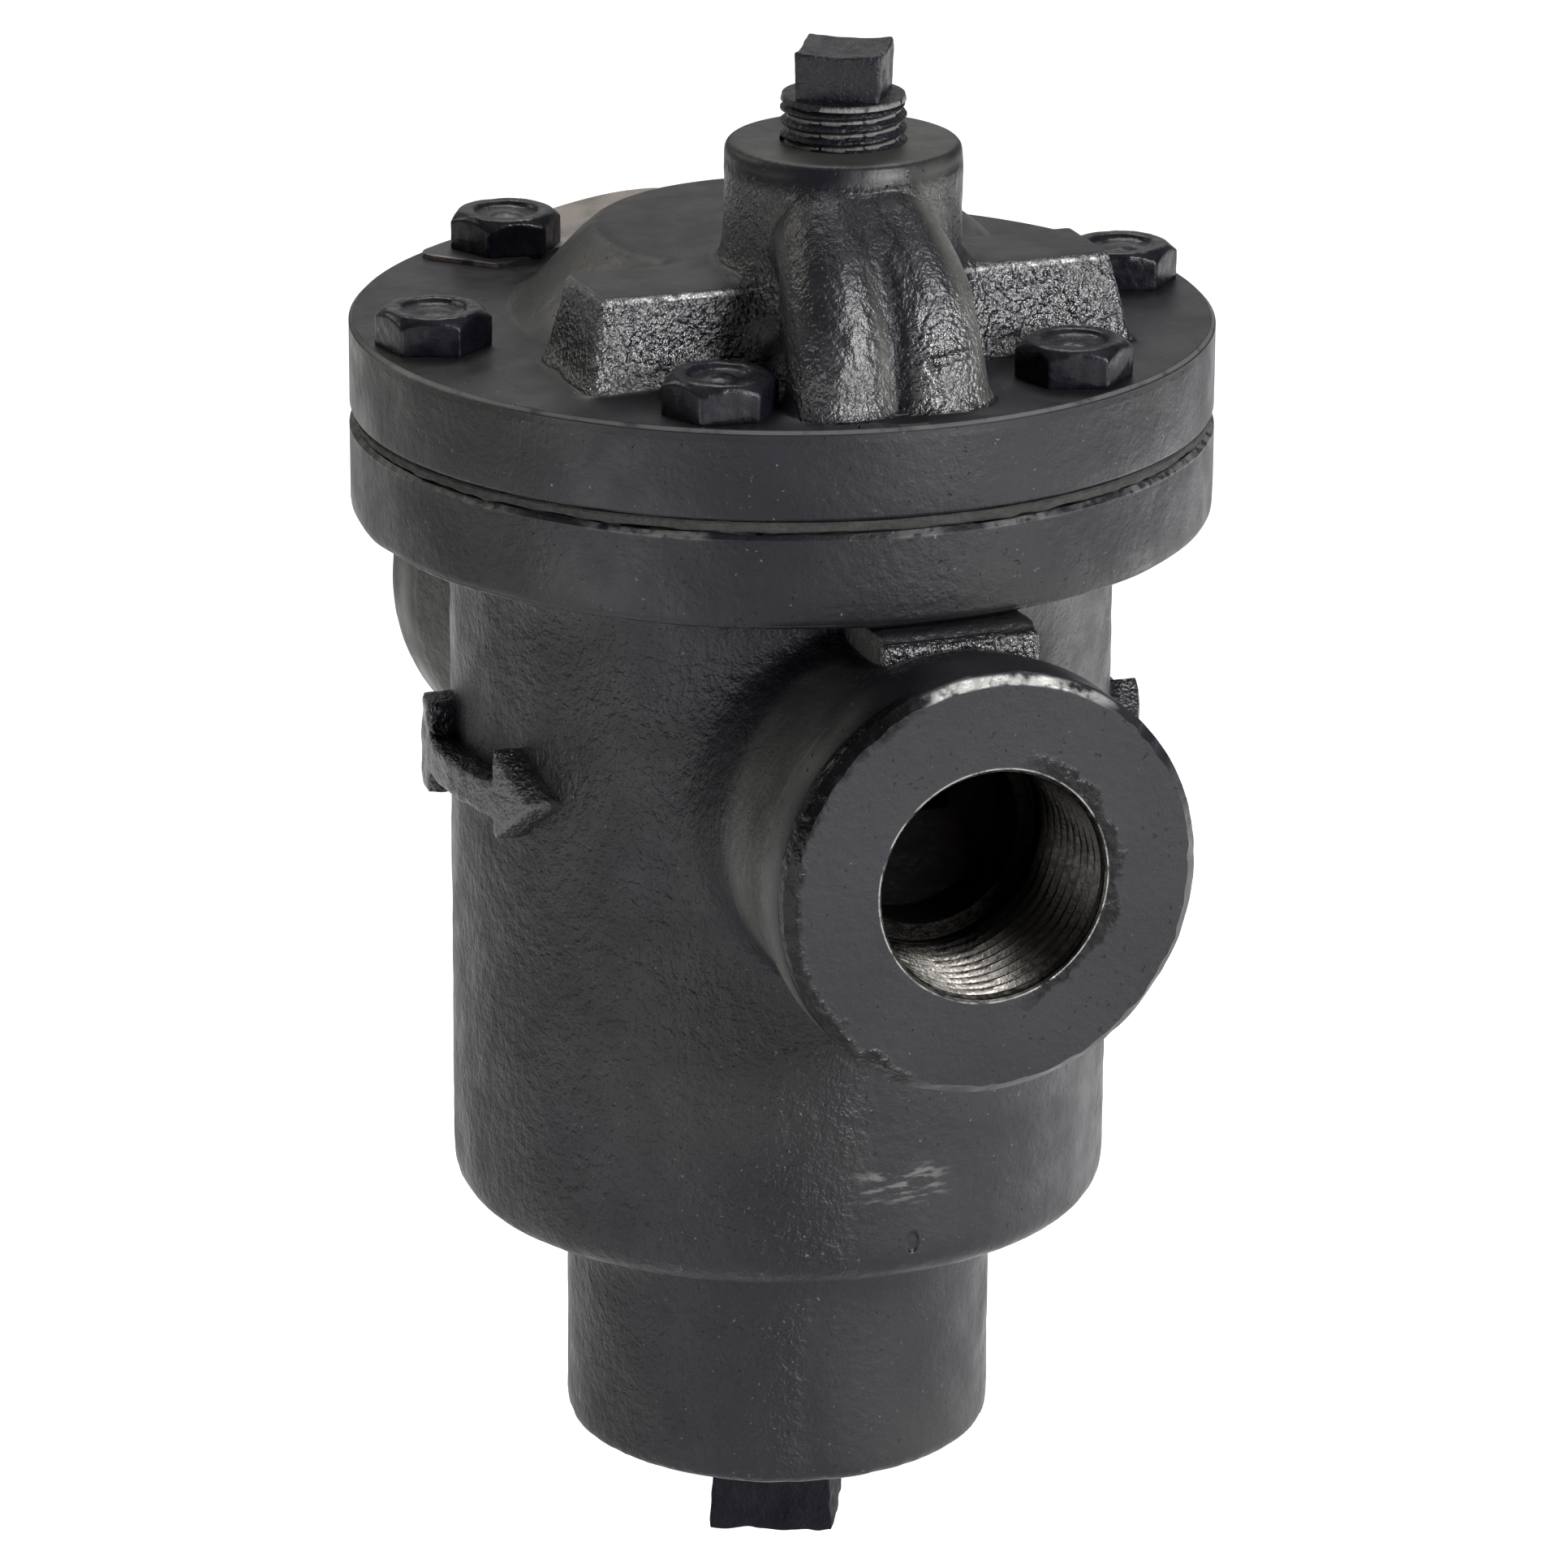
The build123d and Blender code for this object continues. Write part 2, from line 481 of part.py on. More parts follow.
def make_bucket_clip():
    """Strip bent up into two ears that carry the hanger pin."""
    top = BUCKET_TOP_Z + CLIP_THICK
    clip = block(-10, 10, BUCKET_Y - 3.2, BUCKET_Y + 3.2, BUCKET_TOP_Z, top)
    for side in (-1, 1):
        clip += block(side * 3.2 - 0.6, side * 3.2 + 0.6, BUCKET_Y - 2.6, BUCKET_Y + 2.6,
                      BUCKET_TOP_Z, HANGER_Z + 2.6)
        clip -= post(RIVET_RADIUS, BUCKET_TOP_Z - 1, top + 1, side * CLIP_RIVET_X, BUCKET_Y)
    return clip - rod_x(PIN_RADIUS, 10, BUCKET_Y, HANGER_Z)


def make_clip_rivets():
    rivets = []
    for side in (-1, 1):
        x = side * CLIP_RIVET_X
        top = BUCKET_TOP_Z + CLIP_THICK
        head = fillet(top_edges(post(2.0, top, top + 0.9, x, BUCKET_Y)), 0.7)
        tail = post(1.8, BUCKET_TOP_Z - BUCKET_WALL - 0.7, BUCKET_TOP_Z - BUCKET_WALL, x, BUCKET_Y)
        rivets.append(head + tail + post(RIVET_RADIUS, BUCKET_TOP_Z - 1.2, top + 0.5, x, BUCKET_Y))
    return Compound(children=rivets)


def make_hanger_pin():
    pin = rod_x(PIN_RADIUS, 4.6, BUCKET_Y, HANGER_Z)
    return pin + Pos(-4.9, BUCKET_Y, HANGER_Z) * Rot(0, 90, 0) * Cylinder(1.8, 0.9)


PIECES = {
    "body": make_body,
    "cap": make_cap,
    "cap_gasket": make_gasket,
    "cap_screws": make_cap_screws,
    "nameplate": make_nameplate,
    "test_plug": make_test_plug,
    "drain_plug": make_drain_plug,
    "strainer_screen": make_screen,
    "screen_retainer": make_screen_retainer,
    "inlet_tube": make_inlet_tube,
    "valve_seat": make_valve_seat,
    "valve_ball": make_valve_ball,
    "valve_retainer": make_valve_retainer,
    "lever": make_lever,
    "fulcrum_bracket": make_fulcrum_bracket,
    "fulcrum_pin": make_fulcrum_pin,
    "bracket_screws": make_bracket_screws,
    "bucket": make_bucket,
    "bucket_clip": make_bucket_clip,
    "clip_rivets": make_clip_rivets,
    "hanger_pin": make_hanger_pin,
}

os.makedirs("parts", exist_ok=True)
for name, make in PIECES.items():
    piece = make()
    export_step(piece, f"parts/{name}.step")
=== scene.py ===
import math

import bmesh
import bpy
import numpy as np
from mathutils import Matrix, Vector


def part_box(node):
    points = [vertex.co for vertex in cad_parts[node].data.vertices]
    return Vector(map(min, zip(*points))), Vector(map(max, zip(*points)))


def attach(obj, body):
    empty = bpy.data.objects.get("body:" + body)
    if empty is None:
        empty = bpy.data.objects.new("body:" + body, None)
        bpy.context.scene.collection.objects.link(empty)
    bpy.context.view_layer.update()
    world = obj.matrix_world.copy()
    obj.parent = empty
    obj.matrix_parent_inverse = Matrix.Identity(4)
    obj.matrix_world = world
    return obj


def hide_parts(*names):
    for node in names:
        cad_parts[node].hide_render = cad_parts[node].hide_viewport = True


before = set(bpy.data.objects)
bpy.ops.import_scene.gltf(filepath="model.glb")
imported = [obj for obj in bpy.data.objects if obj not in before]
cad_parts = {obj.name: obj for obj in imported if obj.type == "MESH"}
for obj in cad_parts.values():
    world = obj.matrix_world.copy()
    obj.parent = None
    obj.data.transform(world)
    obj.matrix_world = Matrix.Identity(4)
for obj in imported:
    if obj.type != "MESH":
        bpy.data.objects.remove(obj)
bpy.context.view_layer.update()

# Shapes are built in millimetres in the row frame and turned to metres by finish_piece().
MM = 0.001


def box_mm(node):
    low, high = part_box(node)
    return low / MM, high / MM


# ---- places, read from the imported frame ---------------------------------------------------
BODY_LOW, BODY_HIGH = box_mm("body")
CAP_LOW, CAP_HIGH = box_mm("cap")
PLUG_TOP_Z = box_mm("test_plug")[1].z
BOSS_Z = BODY_LOW.z
BODY_TOP_Z = BODY_HIGH.z
CAP_Z = CAP_LOW.z
NECK_TOP_Z = CAP_HIGH.z
FLANGE_RADIUS = CAP_HIGH.x
PORT_FACE_Y = BODY_HIGH.y

# ---- dimensions shared with the solids ----------------------------------------------------
BODY_FLANGE_THICK = 10.6
CAP_FLANGE_THICK = 10.0
BOSS_HEIGHT = 28.7
FLANGE_Z = BODY_TOP_Z - BODY_FLANGE_THICK
BARREL_Z = BOSS_Z + BOSS_HEIGHT
CAP_TOP_Z = CAP_Z + CAP_FLANGE_THICK
PORT_Z = BOSS_Z + 84.2
BARREL_RADIUS = 36.8
BOSS_RADIUS = 24.0
OUTLET_RIM_RADIUS = 23.3
INLET_RIM_RADIUS = 25.2
PORT_NECK_RADIUS = 21.4
PORT_THREAD_LENGTH = 19.0
PORT_CREST_RADIUS = 12.3
BOLT_CIRCLE_RADIUS = 40.3
BOLT_COUNT = 6
SCREW_RADIUS = 3.1
NECK_Y = -18.2
NECK_RADIUS = 12.8
DOME_HEIGHT = 10.2
CHAMBER_RADIUS = 31.5
FLOOR_Z = BARREL_Z + 14.5
STRAINER_TOP_Z = FLOOR_Z - 3.0
BUCKET_Y = -2.0
PASSAGE_Y = (-43.0, -34.8)
RIDGE_Y = -24.0
RIDGE_RADIUS = 21.5
LOBE_RADIUS = 5.8
LOBES = ((-4.7, -13, LOBE_RADIUS), (-0.8, 10, LOBE_RADIUS + 0.1))  # shift, turn in degrees, radius
KNOB_PLACE = (-10.6, -26.0, CAP_TOP_Z + 3.2)
KNOBS = ((3.4, KNOB_PLACE), (2.6, (-10.4, -30.2, CAP_TOP_Z + 0.8)))  # radius and place
CAP_POCKET_RADIUS = 23.0
SEAT_WELL_RADIUS = 9.2
SEAT_TAP_RADIUS = 6.05
PLUG_TAP_RADIUS = 6.85
OUTLET_BORE_RADIUS = 3.9
OUTLET_BORE_Y = PASSAGE_Y[1] - 3.0
OUTLET_BORE_Z = CAP_TOP_Z + 8
BRACKET_SCREWS = ((-10.1, -26.5), (10.1, -26.5))
PORT_PITCH = 25.4 / 14
BOLT_PITCH = 25.4 / 20
PLUG_PITCH = 25.4 / 18
HEX_FLATS = 11.1
HEX_HEIGHT = 4.2
SCREW_TURNS = (16, 4, 24, 9, 21, 12)
TAG_THICK = 0.5
TAG_INNER, TAG_OUTER = 35.2, 46.6
TAG_START, TAG_END = 86.0, 131.5
TAG_FLAT_FROM = 116
TAG_CORNER = 2.2
TAG_SCREW = 2  # the screw that holds the tag down
FLOOR_LEVEL = -0.062  # metres, below the drain plug at its lowest

# Voxel sizes of the cast and forged skins.
BODY_VOXEL, CAP_VOXEL, DETAIL_VOXEL = 0.82, 0.42, 0.45
SCREW_VOXEL, PLUG_VOXEL, DRAIN_VOXEL = 0.24, 0.22, 0.32

SCENE = bpy.context.scene


# ---- camera at the reference view ---------------------------------------------------------
def make_camera():
    azimuth, elevation, roll = math.radians(-20.76), math.radians(18.6), math.radians(0.28)
    back = Vector((math.sin(azimuth) * math.cos(elevation),
                   -math.cos(azimuth) * math.cos(elevation), math.sin(elevation)))
    right = Vector((math.cos(azimuth), math.sin(azimuth), 0))
    up = back.cross(right)
    right, up = (right * math.cos(roll) + up * math.sin(roll),
                 up * math.cos(roll) - right * math.sin(roll))
    aim, distance = Vector((0, 0, (BOSS_Z + 78.0) * MM)), 0.9
    data = bpy.data.cameras.new("camera")
    data.sensor_width = 36.0
    data.lens = 184.6
    data.shift_x = 0.0026
    data.shift_y = -0.0148
    data.clip_start = 0.01
    camera = bpy.data.objects.new("camera", data)
    rotation = Matrix((right, up, back)).transposed().to_4x4()
    camera.matrix_world = Matrix.Translation(aim + back * distance) @ rotation
    SCENE.collection.objects.link(camera)
    SCENE.camera = camera


# ---- mesh helpers -------------------------------------------------------------------------
def new_object(name, verts, faces):
    mesh = bpy.data.meshes.new(name)
    mesh.from_pydata([tuple(v) for v in verts], [], faces)
    mesh.update()
    piece = bpy.data.objects.new(name, mesh)
    SCENE.collection.objects.link(piece)
    return piece


# Matrices that take +Z to an axis.
TURNS = {"+Z": Matrix.Identity(4), "+X": Matrix.Rotation(math.pi / 2, 4, "Y"),
         "+Y": Matrix.Rotation(-math.pi / 2, 4, "X"), "-Y": Matrix.Rotation(math.pi / 2, 4, "X")}


def spoke(radius, angle):
    return radius * math.cos(angle), radius * math.sin(angle)


def polar(radius, degrees):
    return spoke(radius, math.radians(degrees))


def arc(centre, radius, start, end, steps=6):
    """Points of an arc in a profile, angles in degrees."""
    for step in range(steps + 1):
        u, v = polar(radius, start + (end - start) * step / steps)
        yield centre[0] + u, centre[1] + v


def band(low, high, count):
    """Faces between two rings of vertices, each given by its first vertex."""
    return [(low + k, low + (k + 1) % count, high + (k + 1) % count, high + k) for k in range(count)]


def lathe(profile, place=(0, 0, 0), axis="+Z", segments=192):
    """Closed solid of revolution; the profile runs from the axis out and back to the axis."""
    verts, faces, rings = [], [], []
    for radius, height in profile:
        count = segments if radius else 1
        rings.append((len(verts), count))
        verts += [(*spoke(radius, 2 * math.pi * step / segments), height) for step in range(count)]
    for (low, low_count), (high, high_count) in zip(rings, rings[1:]):
        quads = band(low, high, segments)
        if low_count == 1:
            quads = [(low, c, d) for _, _, c, d in quads]
        elif high_count == 1:
            quads = [(a, b, high) for a, b, _, _ in quads]
        faces += quads
    piece = new_object("lathe", verts, faces)
    piece.data.transform(Matrix.Translation(place) @ TURNS[axis])
    return face_out(piece)


def face_out(piece):
    """Make every face point outwards: a solid's signed volume is positive."""
    mesh = piece.data
    mesh.calc_loop_triangles()
    a, b, c = (read_coords(piece)[corner] for corner in read(mesh.loop_triangles, "vertices", 3, np.int32).T)
    if np.einsum("ij,ij->i", a, np.cross(b, c)).sum() < 0:
        mesh.flip_normals()
    return piece


def raised(level, *profile):
    """Profile whose heights are counted from a level."""
    return [(radius, level + height) for radius, height in profile]


def rod(axis, radius, low, high, place, segments):
    """Plain cylinder between two heights along an axis through a place."""
    return lathe([(0, low), (radius, low), (radius, high), (0, high)], place, axis, segments)


def post(radius, low, high, x=0.0, y=0.0, segments=128):
    return rod("+Z", radius, low, high, (x, y, 0), segments)


def block(low, high):
    xs, ys, zs = zip(low, high)
    verts = [(x, y, z) for x in xs for y in ys for z in zs]
    faces = [(0, 1, 3, 2), (4, 6, 7, 5), (0, 4, 5, 1), (2, 3, 7, 6), (0, 2, 6, 4), (1, 5, 7, 3)]
    return face_out(new_object("block", verts, faces))


def prism(outline, low, high, plane="XY"):
    """Outline pushed between two heights along Z, or along X for a YZ outline."""
    count = len(outline)
    verts = [(u, v, level) if plane == "XY" else (level, u, v) for level in (low, high) for u, v in outline]
    faces = [tuple(range(count - 1, -1, -1)), tuple(range(count, 2 * count)), *band(0, count, count)]
    return face_out(new_object("prism", verts, faces))


def frustum_block(low_rect, high_rect, low_z, high_z):
    """Box with drafted sides between two rectangles (x0, x1, y0, y1)."""
    verts = []
    for (x0, x1, y0, y1), z in ((low_rect, low_z), (high_rect, high_z)):
        verts += [(x0, y0, z), (x1, y0, z), (x1, y1, z), (x0, y1, z)]
    faces = [(0, 3, 2, 1), (4, 5, 6, 7), (0, 1, 5, 4), (1, 2, 6, 5), (2, 3, 7, 6), (3, 0, 4, 7)]
    return face_out(new_object("frustum", verts, faces))


def torus(ring_radius, tube_radius, matrix, around=96, across=32):
    verts, faces = [], []
    for i in range(around):
        u = 2 * math.pi * i / around
        for j in range(across):
            v = 2 * math.pi * j / across
            reach = ring_radius + tube_radius * math.cos(v)
            verts.append((*spoke(reach, u), tube_radius * math.sin(v)))
            k, m = (i + 1) % around, (j + 1) % across
            faces.append((i * across + j, k * across + j, k * across + m, i * across + m))
    piece = new_object("torus", verts, faces)
    piece.data.transform(matrix)
    return face_out(piece)


def ball(radius, centre):
    steps = 24
    angles = [math.pi * k / steps for k in range(1, steps)]
    profile = [(radius * math.sin(angle), -radius * math.cos(angle)) for angle in angles]
    return lathe([(0, -radius), *profile, (0, radius)], centre, "+Z", 48)


def thread(crest, root, pitch, low, high, segments=96, steps=8, taper=0.0, fade=0.8):
    """Rod along Z with one helical ridge, which fades out over some turns at each end."""
    rows = int(math.ceil((high - low) / pitch * steps)) + 1
    verts, faces = [], []
    for row in range(rows):
        z = low + (high - low) * row / (rows - 1)
        ends = min(1.0, (z - low) / (fade * pitch), (high - z) / (fade * pitch))
        for step in range(segments):
            turn = step / segments
            wave = abs(2 * ((z / pitch - turn) % 1.0) - 1)
            ridge = min(1.0, max(0.0, (wave - 0.12) / 0.72)) * ends
            radius = root + (crest - root) * ridge + taper * (z - low)
            verts.append((*spoke(radius, 2 * math.pi * turn), z))
    for row in range(rows - 1):
        faces += band(row * segments, (row + 1) * segments, segments)
    verts += [(0, 0, low), (0, 0, high)]
    top = (rows - 1) * segments
    for step in range(segments):
        after = (step + 1) % segments
        faces.append((step, len(verts) - 2, after))
        faces.append((top + step, top + after, len(verts) - 1))
    return face_out(new_object("thread", verts, faces))


def read(items, key, width=3, kind=np.float32):
    values = np.empty(len(items) * width, kind)
    items.foreach_get(key, values)
    return values.reshape(-1, width)


def read_coords(piece):
    return read(piece.data.vertices, "co").astype(float)


def read_normals(piece):
    return read(piece.data.vertex_normals, "vector").astype(float)


def write_coords(piece, co):
    piece.data.vertices.foreach_set("co", np.ascontiguousarray(co, np.float32).ravel())
    piece.data.update()


def combine(name, pieces):
    """One object that holds the shells of several."""
    verts, faces = [], []
    for piece in pieces:
        start = len(verts)
        verts += [tuple(v.co) for v in piece.data.vertices]
        faces += [tuple(start + k for k in p.vertices) for p in piece.data.polygons]
        discard(piece)
    return new_object(name, verts, faces)


def move(piece, place, turn=0):
    """Turn a piece about Z by some degrees and then shift it."""
    piece.data.transform(Matrix.Translation(place) @ Matrix.Rotation(math.radians(turn), 4, "Z"))


def discard(piece):
    mesh = piece.data
    bpy.data.objects.remove(piece)
    bpy.data.meshes.remove(mesh)


def settle(piece):
    """Apply the piece's modifiers."""
    graph = bpy.context.evaluated_depsgraph_get()
    mesh = bpy.data.meshes.new_from_object(piece.evaluated_get(graph))
    old = piece.data
    piece.modifiers.clear()
    piece.data = mesh
    bpy.data.meshes.remove(old)
    return piece


def carve(piece, other, operation="DIFFERENCE"):
    """Boolean of two solids; the second is used up."""
    modifier = piece.modifiers.new("carve", "BOOLEAN")
    modifier.operation = operation
    modifier.solver = "MANIFOLD"
    modifier.object = other
    settle(piece)
    discard(other)
    return piece


def carve_all(piece, others, operation="DIFFERENCE"):
    for other in others:
        carve(piece, other, operation)
    return piece


def merge(pieces):
    return carve_all(pieces[0], pieces[1:], "UNION")


def remesh(piece, size):
    modifier = piece.modifiers.new("remesh", "REMESH")
    modifier.mode = "VOXEL"
    modifier.voxel_size = size
    modifier.adaptivity = 0
    return settle(piece)


def neighbour_mean(piece):
    """Function that gives each vertex the mean of its neighbours."""
    a, b = read(piece.data.edges, "vertices", 2, np.int32).T
    count = len(piece.data.vertices)
    degree = np.maximum(np.bincount(a, minlength=count) + np.bincount(b, minlength=count), 1)

    def mean(co):
        total = [np.bincount(a, co[b, k], count) + np.bincount(b, co[a, k], count) for k in range(3)]
        return np.stack(total, 1) / degree[:, None]
    return mean


def relax(piece, passes):
    mean = neighbour_mean(piece)
    co = read_coords(piece)
    for _ in range(passes):
        co += 0.5 * (mean(co) - co)
    write_coords(piece, co)


def fill_corners(piece, passes):
    """Grow the cast fillets: inside corners fill up, outside corners stay."""
    mean = neighbour_mean(piece)
    co = read_coords(piece)
    for step in range(passes):
        if step % 4 == 0:
            write_coords(piece, co)
            normals = read_normals(piece)
        hollow = np.einsum("ij,ij->i", mean(co) - co, normals)
        co += normals * np.clip(hollow, 0, None)[:, None] * 0.9
    write_coords(piece, co)


LATTICE = np.random.default_rng(7).uniform(-1, 1, (48, 48, 48))


def lumps(co, size, shift=0.0):
    """Smooth noise between -1 and 1 with features of about one size in millimetres."""
    place = co / size + shift
    cell = np.floor(place).astype(int)
    part = place - cell
    part = part * part * (3 - 2 * part)
    total = np.zeros(len(co))
    for corner in np.ndindex(2, 2, 2):
        weight = np.prod(np.where(np.array(corner) == 1, part, 1 - part), axis=1)
        index = (cell + np.array(corner)) % len(LATTICE)
        total += weight * LATTICE[index[:, 0], index[:, 1], index[:, 2]]
    return total


def roughen(piece, amount):
    """Move each vertex along its normal by amount(places, normals), in millimetres."""
    co, normals = read_coords(piece), read_normals(piece)
    write_coords(piece, co + normals * amount(co, normals)[:, None])


def ease(value, low, high):
    """Smooth step from 0 at low to 1 at high."""
    part = np.clip((value - low) / (high - low), 0, 1)
    return part * part * (3 - 2 * part)


def finish_piece(piece, name, body, nodes, materials, sharp=34.0, pick=None):
    """Metres, shading, materials and the frame's calls; pick(centres) gives each face its material."""
    piece.name = name
    piece.data.name = name
    mesh = piece.data
    mesh.materials.clear()
    for material in materials:
        mesh.materials.append(material)
    count = len(mesh.polygons)
    choice = pick(np.array([p.center for p in mesh.polygons])) if pick else np.zeros(count)
    mesh.polygons.foreach_set("material_index", choice.astype(np.int32))
    mesh.transform(Matrix.Scale(MM, 4))
    mesh.polygons.foreach_set("use_smooth", np.ones(count, bool))
    mesh.set_sharp_from_angle(angle=math.radians(sharp))
    mesh.update()
    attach(piece, body)
    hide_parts(*nodes)


def set_measure(piece, name, measure):
    """A per-vertex measure of the cast skin, such as its grain or its painted highlight, read by the paint.
    """
    values = measure(read_coords(piece), read_normals(piece))
    attribute = piece.data.attributes.new(name, "FLOAT", "POINT")
    attribute.data.foreach_set("value", values.astype(np.float32))


def bolt_places():
    return [polar(BOLT_CIRCLE_RADIUS, 360 * index / BOLT_COUNT) for index in range(BOLT_COUNT)]


def screw_holes(slack, low, high, segments=48):
    return [post(SCREW_RADIUS + slack, low, high, x, y, segments) for x, y in bolt_places()]


# ---- materials ----------------------------------------------------------------------------
class Graph:
    """Short calls for building one material's nodes; sizes are in millimetres."""

    def __init__(self, name, **settings):
        self.material = bpy.data.materials.new(name)
        self.material.use_nodes = True
        self.tree = self.material.node_tree
        self.shader = self.tree.nodes["Principled BSDF"]
        self.place = self.add("ShaderNodeTexCoord").outputs["Object"]
        self.fill(self.shader, **settings)

    def add(self, kind, **settings):
        node = self.tree.nodes.new(kind)
        for key, value in settings.items():
            setattr(node, key, value)
        return node

    def put(self, socket, value):
        if isinstance(value, bpy.types.NodeSocket):
            self.tree.links.new(value, socket)
        else:
            socket.default_value = value

    def fill(self, node, **inputs):
        """Put values or links into a node's inputs; a name's underlines stand for spaces."""
        for name, value in inputs.items():
            self.put(node.inputs[name.replace("_", " ")], value)

    def math(self, operation, *values):
        node = self.add("ShaderNodeMath", operation=operation)
        for socket, value in zip(node.inputs, values):
            self.put(socket, value)
        return node.outputs[0]

    def times(self, a, b):
        return self.math("MULTIPLY", a, b)

    def plus(self, a, b):
        return self.math("ADD", a, b)

    def minus(self, a, b):
        return self.math("SUBTRACT", a, b)

    def most(self, a, b):
        return self.math("MAXIMUM", a, b)

    def absolute(self, value):
        return self.math("ABSOLUTE", value)

    def noise(self, size, detail, stretch=None):
        place = self.place
        if stretch:
            mapping = self.add("ShaderNodeMapping")
            self.fill(mapping, Scale=stretch, Vector=place)
            place = mapping.outputs[0]
        node = self.add("ShaderNodeTexNoise")
        self.fill(node, Scale=1 / (size * MM), Detail=detail, Vector=place)
        return node.outputs["Fac"]

    def cells(self, size):
        """Distance from the middle of rounded cells, for beaded skin."""
        node = self.add("ShaderNodeTexVoronoi", feature="SMOOTH_F1")
        self.fill(node, Scale=1 / (size * MM), Smoothness=0.5, Vector=self.place)
        return node.outputs["Distance"]

    def ramp(self, value, low, high, start=0.0, end=1.0):
        node = self.add("ShaderNodeMapRange", interpolation_type="SMOOTHSTEP")
        for socket, number in zip(node.inputs, (value, low, high, start, end)):
            self.put(socket, number)
        return node.outputs[0]

    def blend(self, factor, first, second):
        node = self.add("ShaderNodeMix", data_type="RGBA")
        self.put(node.inputs[0], factor)
        self.put(node.inputs[6], first)
        self.put(node.inputs[7], second)
        return node.outputs[2]

    def axes(self):
        node = self.add("ShaderNodeSeparateXYZ")
        self.put(node.inputs[0], self.place)
        return [self.math("DIVIDE", output, MM) for output in node.outputs]

    def radius(self, a, b):
        return self.math("SQRT", self.plus(self.times(a, a), self.times(b, b)))

    def near(self, value, target, width):
        """1 close to a target, falling to 0 at a width from it."""
        gap = self.absolute(self.minus(value, target))
        return self.ramp(gap, width * 0.4, width, 1.0, 0.0)

    def patches(self, size, detail, low, high, start=0.0, end=1.0, stretch=None):
        """Noise with its part between low and high spread between two values."""
        return self.ramp(self.noise(size, detail, stretch), low, high, start, end)

    def cloud(self, size, detail, start=0.0, end=1.0, stretch=None):
        """Soft noise spread between two values."""
        return self.patches(size, detail, 0.3, 0.7, start, end, stretch)

    def bump(self, height, depth):
        node = self.add("ShaderNodeBump")
        self.fill(node, Distance=depth * MM, Height=height)
        return node.outputs[0]

    def surface(self, colour, roughness, height, depth):
        """Set what every surface has, and give the material."""
        self.fill(self.shader, Base_Color=colour, Roughness=roughness, Normal=self.bump(height, depth))
        return self.material

    def attribute(self, name):
        return self.add("ShaderNodeAttribute", attribute_name=name).outputs["Fac"]

    def pointiness(self):
        return self.add("ShaderNodeNewGeometry").outputs["Pointiness"]


PAINT_DARK = (0.0022, 0.0023, 0.0039, 1)
PAINT_LIGHT = (0.0050, 0.0052, 0.0074, 1)
PAINT_WARM = (0.0094, 0.0094, 0.0078, 1)
DUST = (0.17, 0.17, 0.165, 1)
# Pale tint painted where sloping and side faces would catch light: a painted highlight.
PAINTED_HIGHLIGHT_FILM = (0.070, 0.070, 0.063, 1)
# Worn paint, and also the painted highlight along the cap flange's top edge.
WORN_PAINT_AND_HIGHLIGHT = (0.075, 0.075, 0.075, 1)
FRESH_PAINT = (0.0016, 0.0016, 0.0019, 1)
# Bare metal, and also the painted highlight along the wings' front top edges.
BARE_METAL_AND_HIGHLIGHT = (0.34, 0.34, 0.33, 1)
CORNER_WEAR = (0.10, 0.10, 0.095, 1)
CUT_DARK, CUT_LIGHT = (0.14, 0.132, 0.12, 1), (0.20, 0.19, 0.175, 1)
# Painted shade for the thread roots and for deep in the bore.
CUT_GROOVE_SHADE, CUT_DEEP_SHADE = (0.05, 0.045, 0.04, 1), (0.012, 0.011, 0.010, 1)
# Nearly black as painted shade inside, with rust patches.
SHADED_CAST_BLACK, CAST_RUST = (0.0016, 0.0016, 0.0016, 1), (0.0042, 0.0028, 0.0022, 1)
TURNED_LIGHT, TURNED_DARK = (0.30, 0.29, 0.28, 1), (0.14, 0.12, 0.10, 1)
FIBRE_DARK, FIBRE_LIGHT = (0.006, 0.006, 0.006, 1), (0.026, 0.026, 0.025, 1)
TAG_LIGHT, TAG_DARK = (0.21, 0.185, 0.168, 1), (0.13, 0.112, 0.10, 1)
STAINLESS_DARK, STAINLESS_LIGHT = (0.50, 0.49, 0.47, 1), (0.66, 0.65, 0.63, 1)
FLOOR_DARK, FLOOR_LIGHT = (0.90, 0.90, 0.90, 1), (0.93, 0.93, 0.93, 1)
RING_PITCH = 0.35


def flange_wear_and_highlight(g, x, y, z):
    """Thin lines on the upper edges of both flanges, as a factor: worn paint on the body's edge and a
    painted highlight on the cap's.
    """
    rim = g.near(g.radius(x, y), FLANGE_RADIUS - 0.2, 0.5)
    # Painted highlight: a thin bright line along the cap flange's rounded top edge; the body flange's edge
    # gets worn paint.
    cap_edge_highlight = g.times(rim, g.near(z, CAP_TOP_Z - 0.22, 0.24))
    body_edge = g.times(rim, g.near(z, BODY_TOP_Z - 0.25, 0.6))
    broken = g.times(g.patches(16.0, 2.0, 0.44, 0.58), g.patches(1.3, 5.0, 0.36, 0.60))
    thin = g.times(cap_edge_highlight, g.patches(3.0, 4.0, 0.30, 0.50, 0.3, 0.9))
    return g.most(thin, g.times(body_edge, broken))


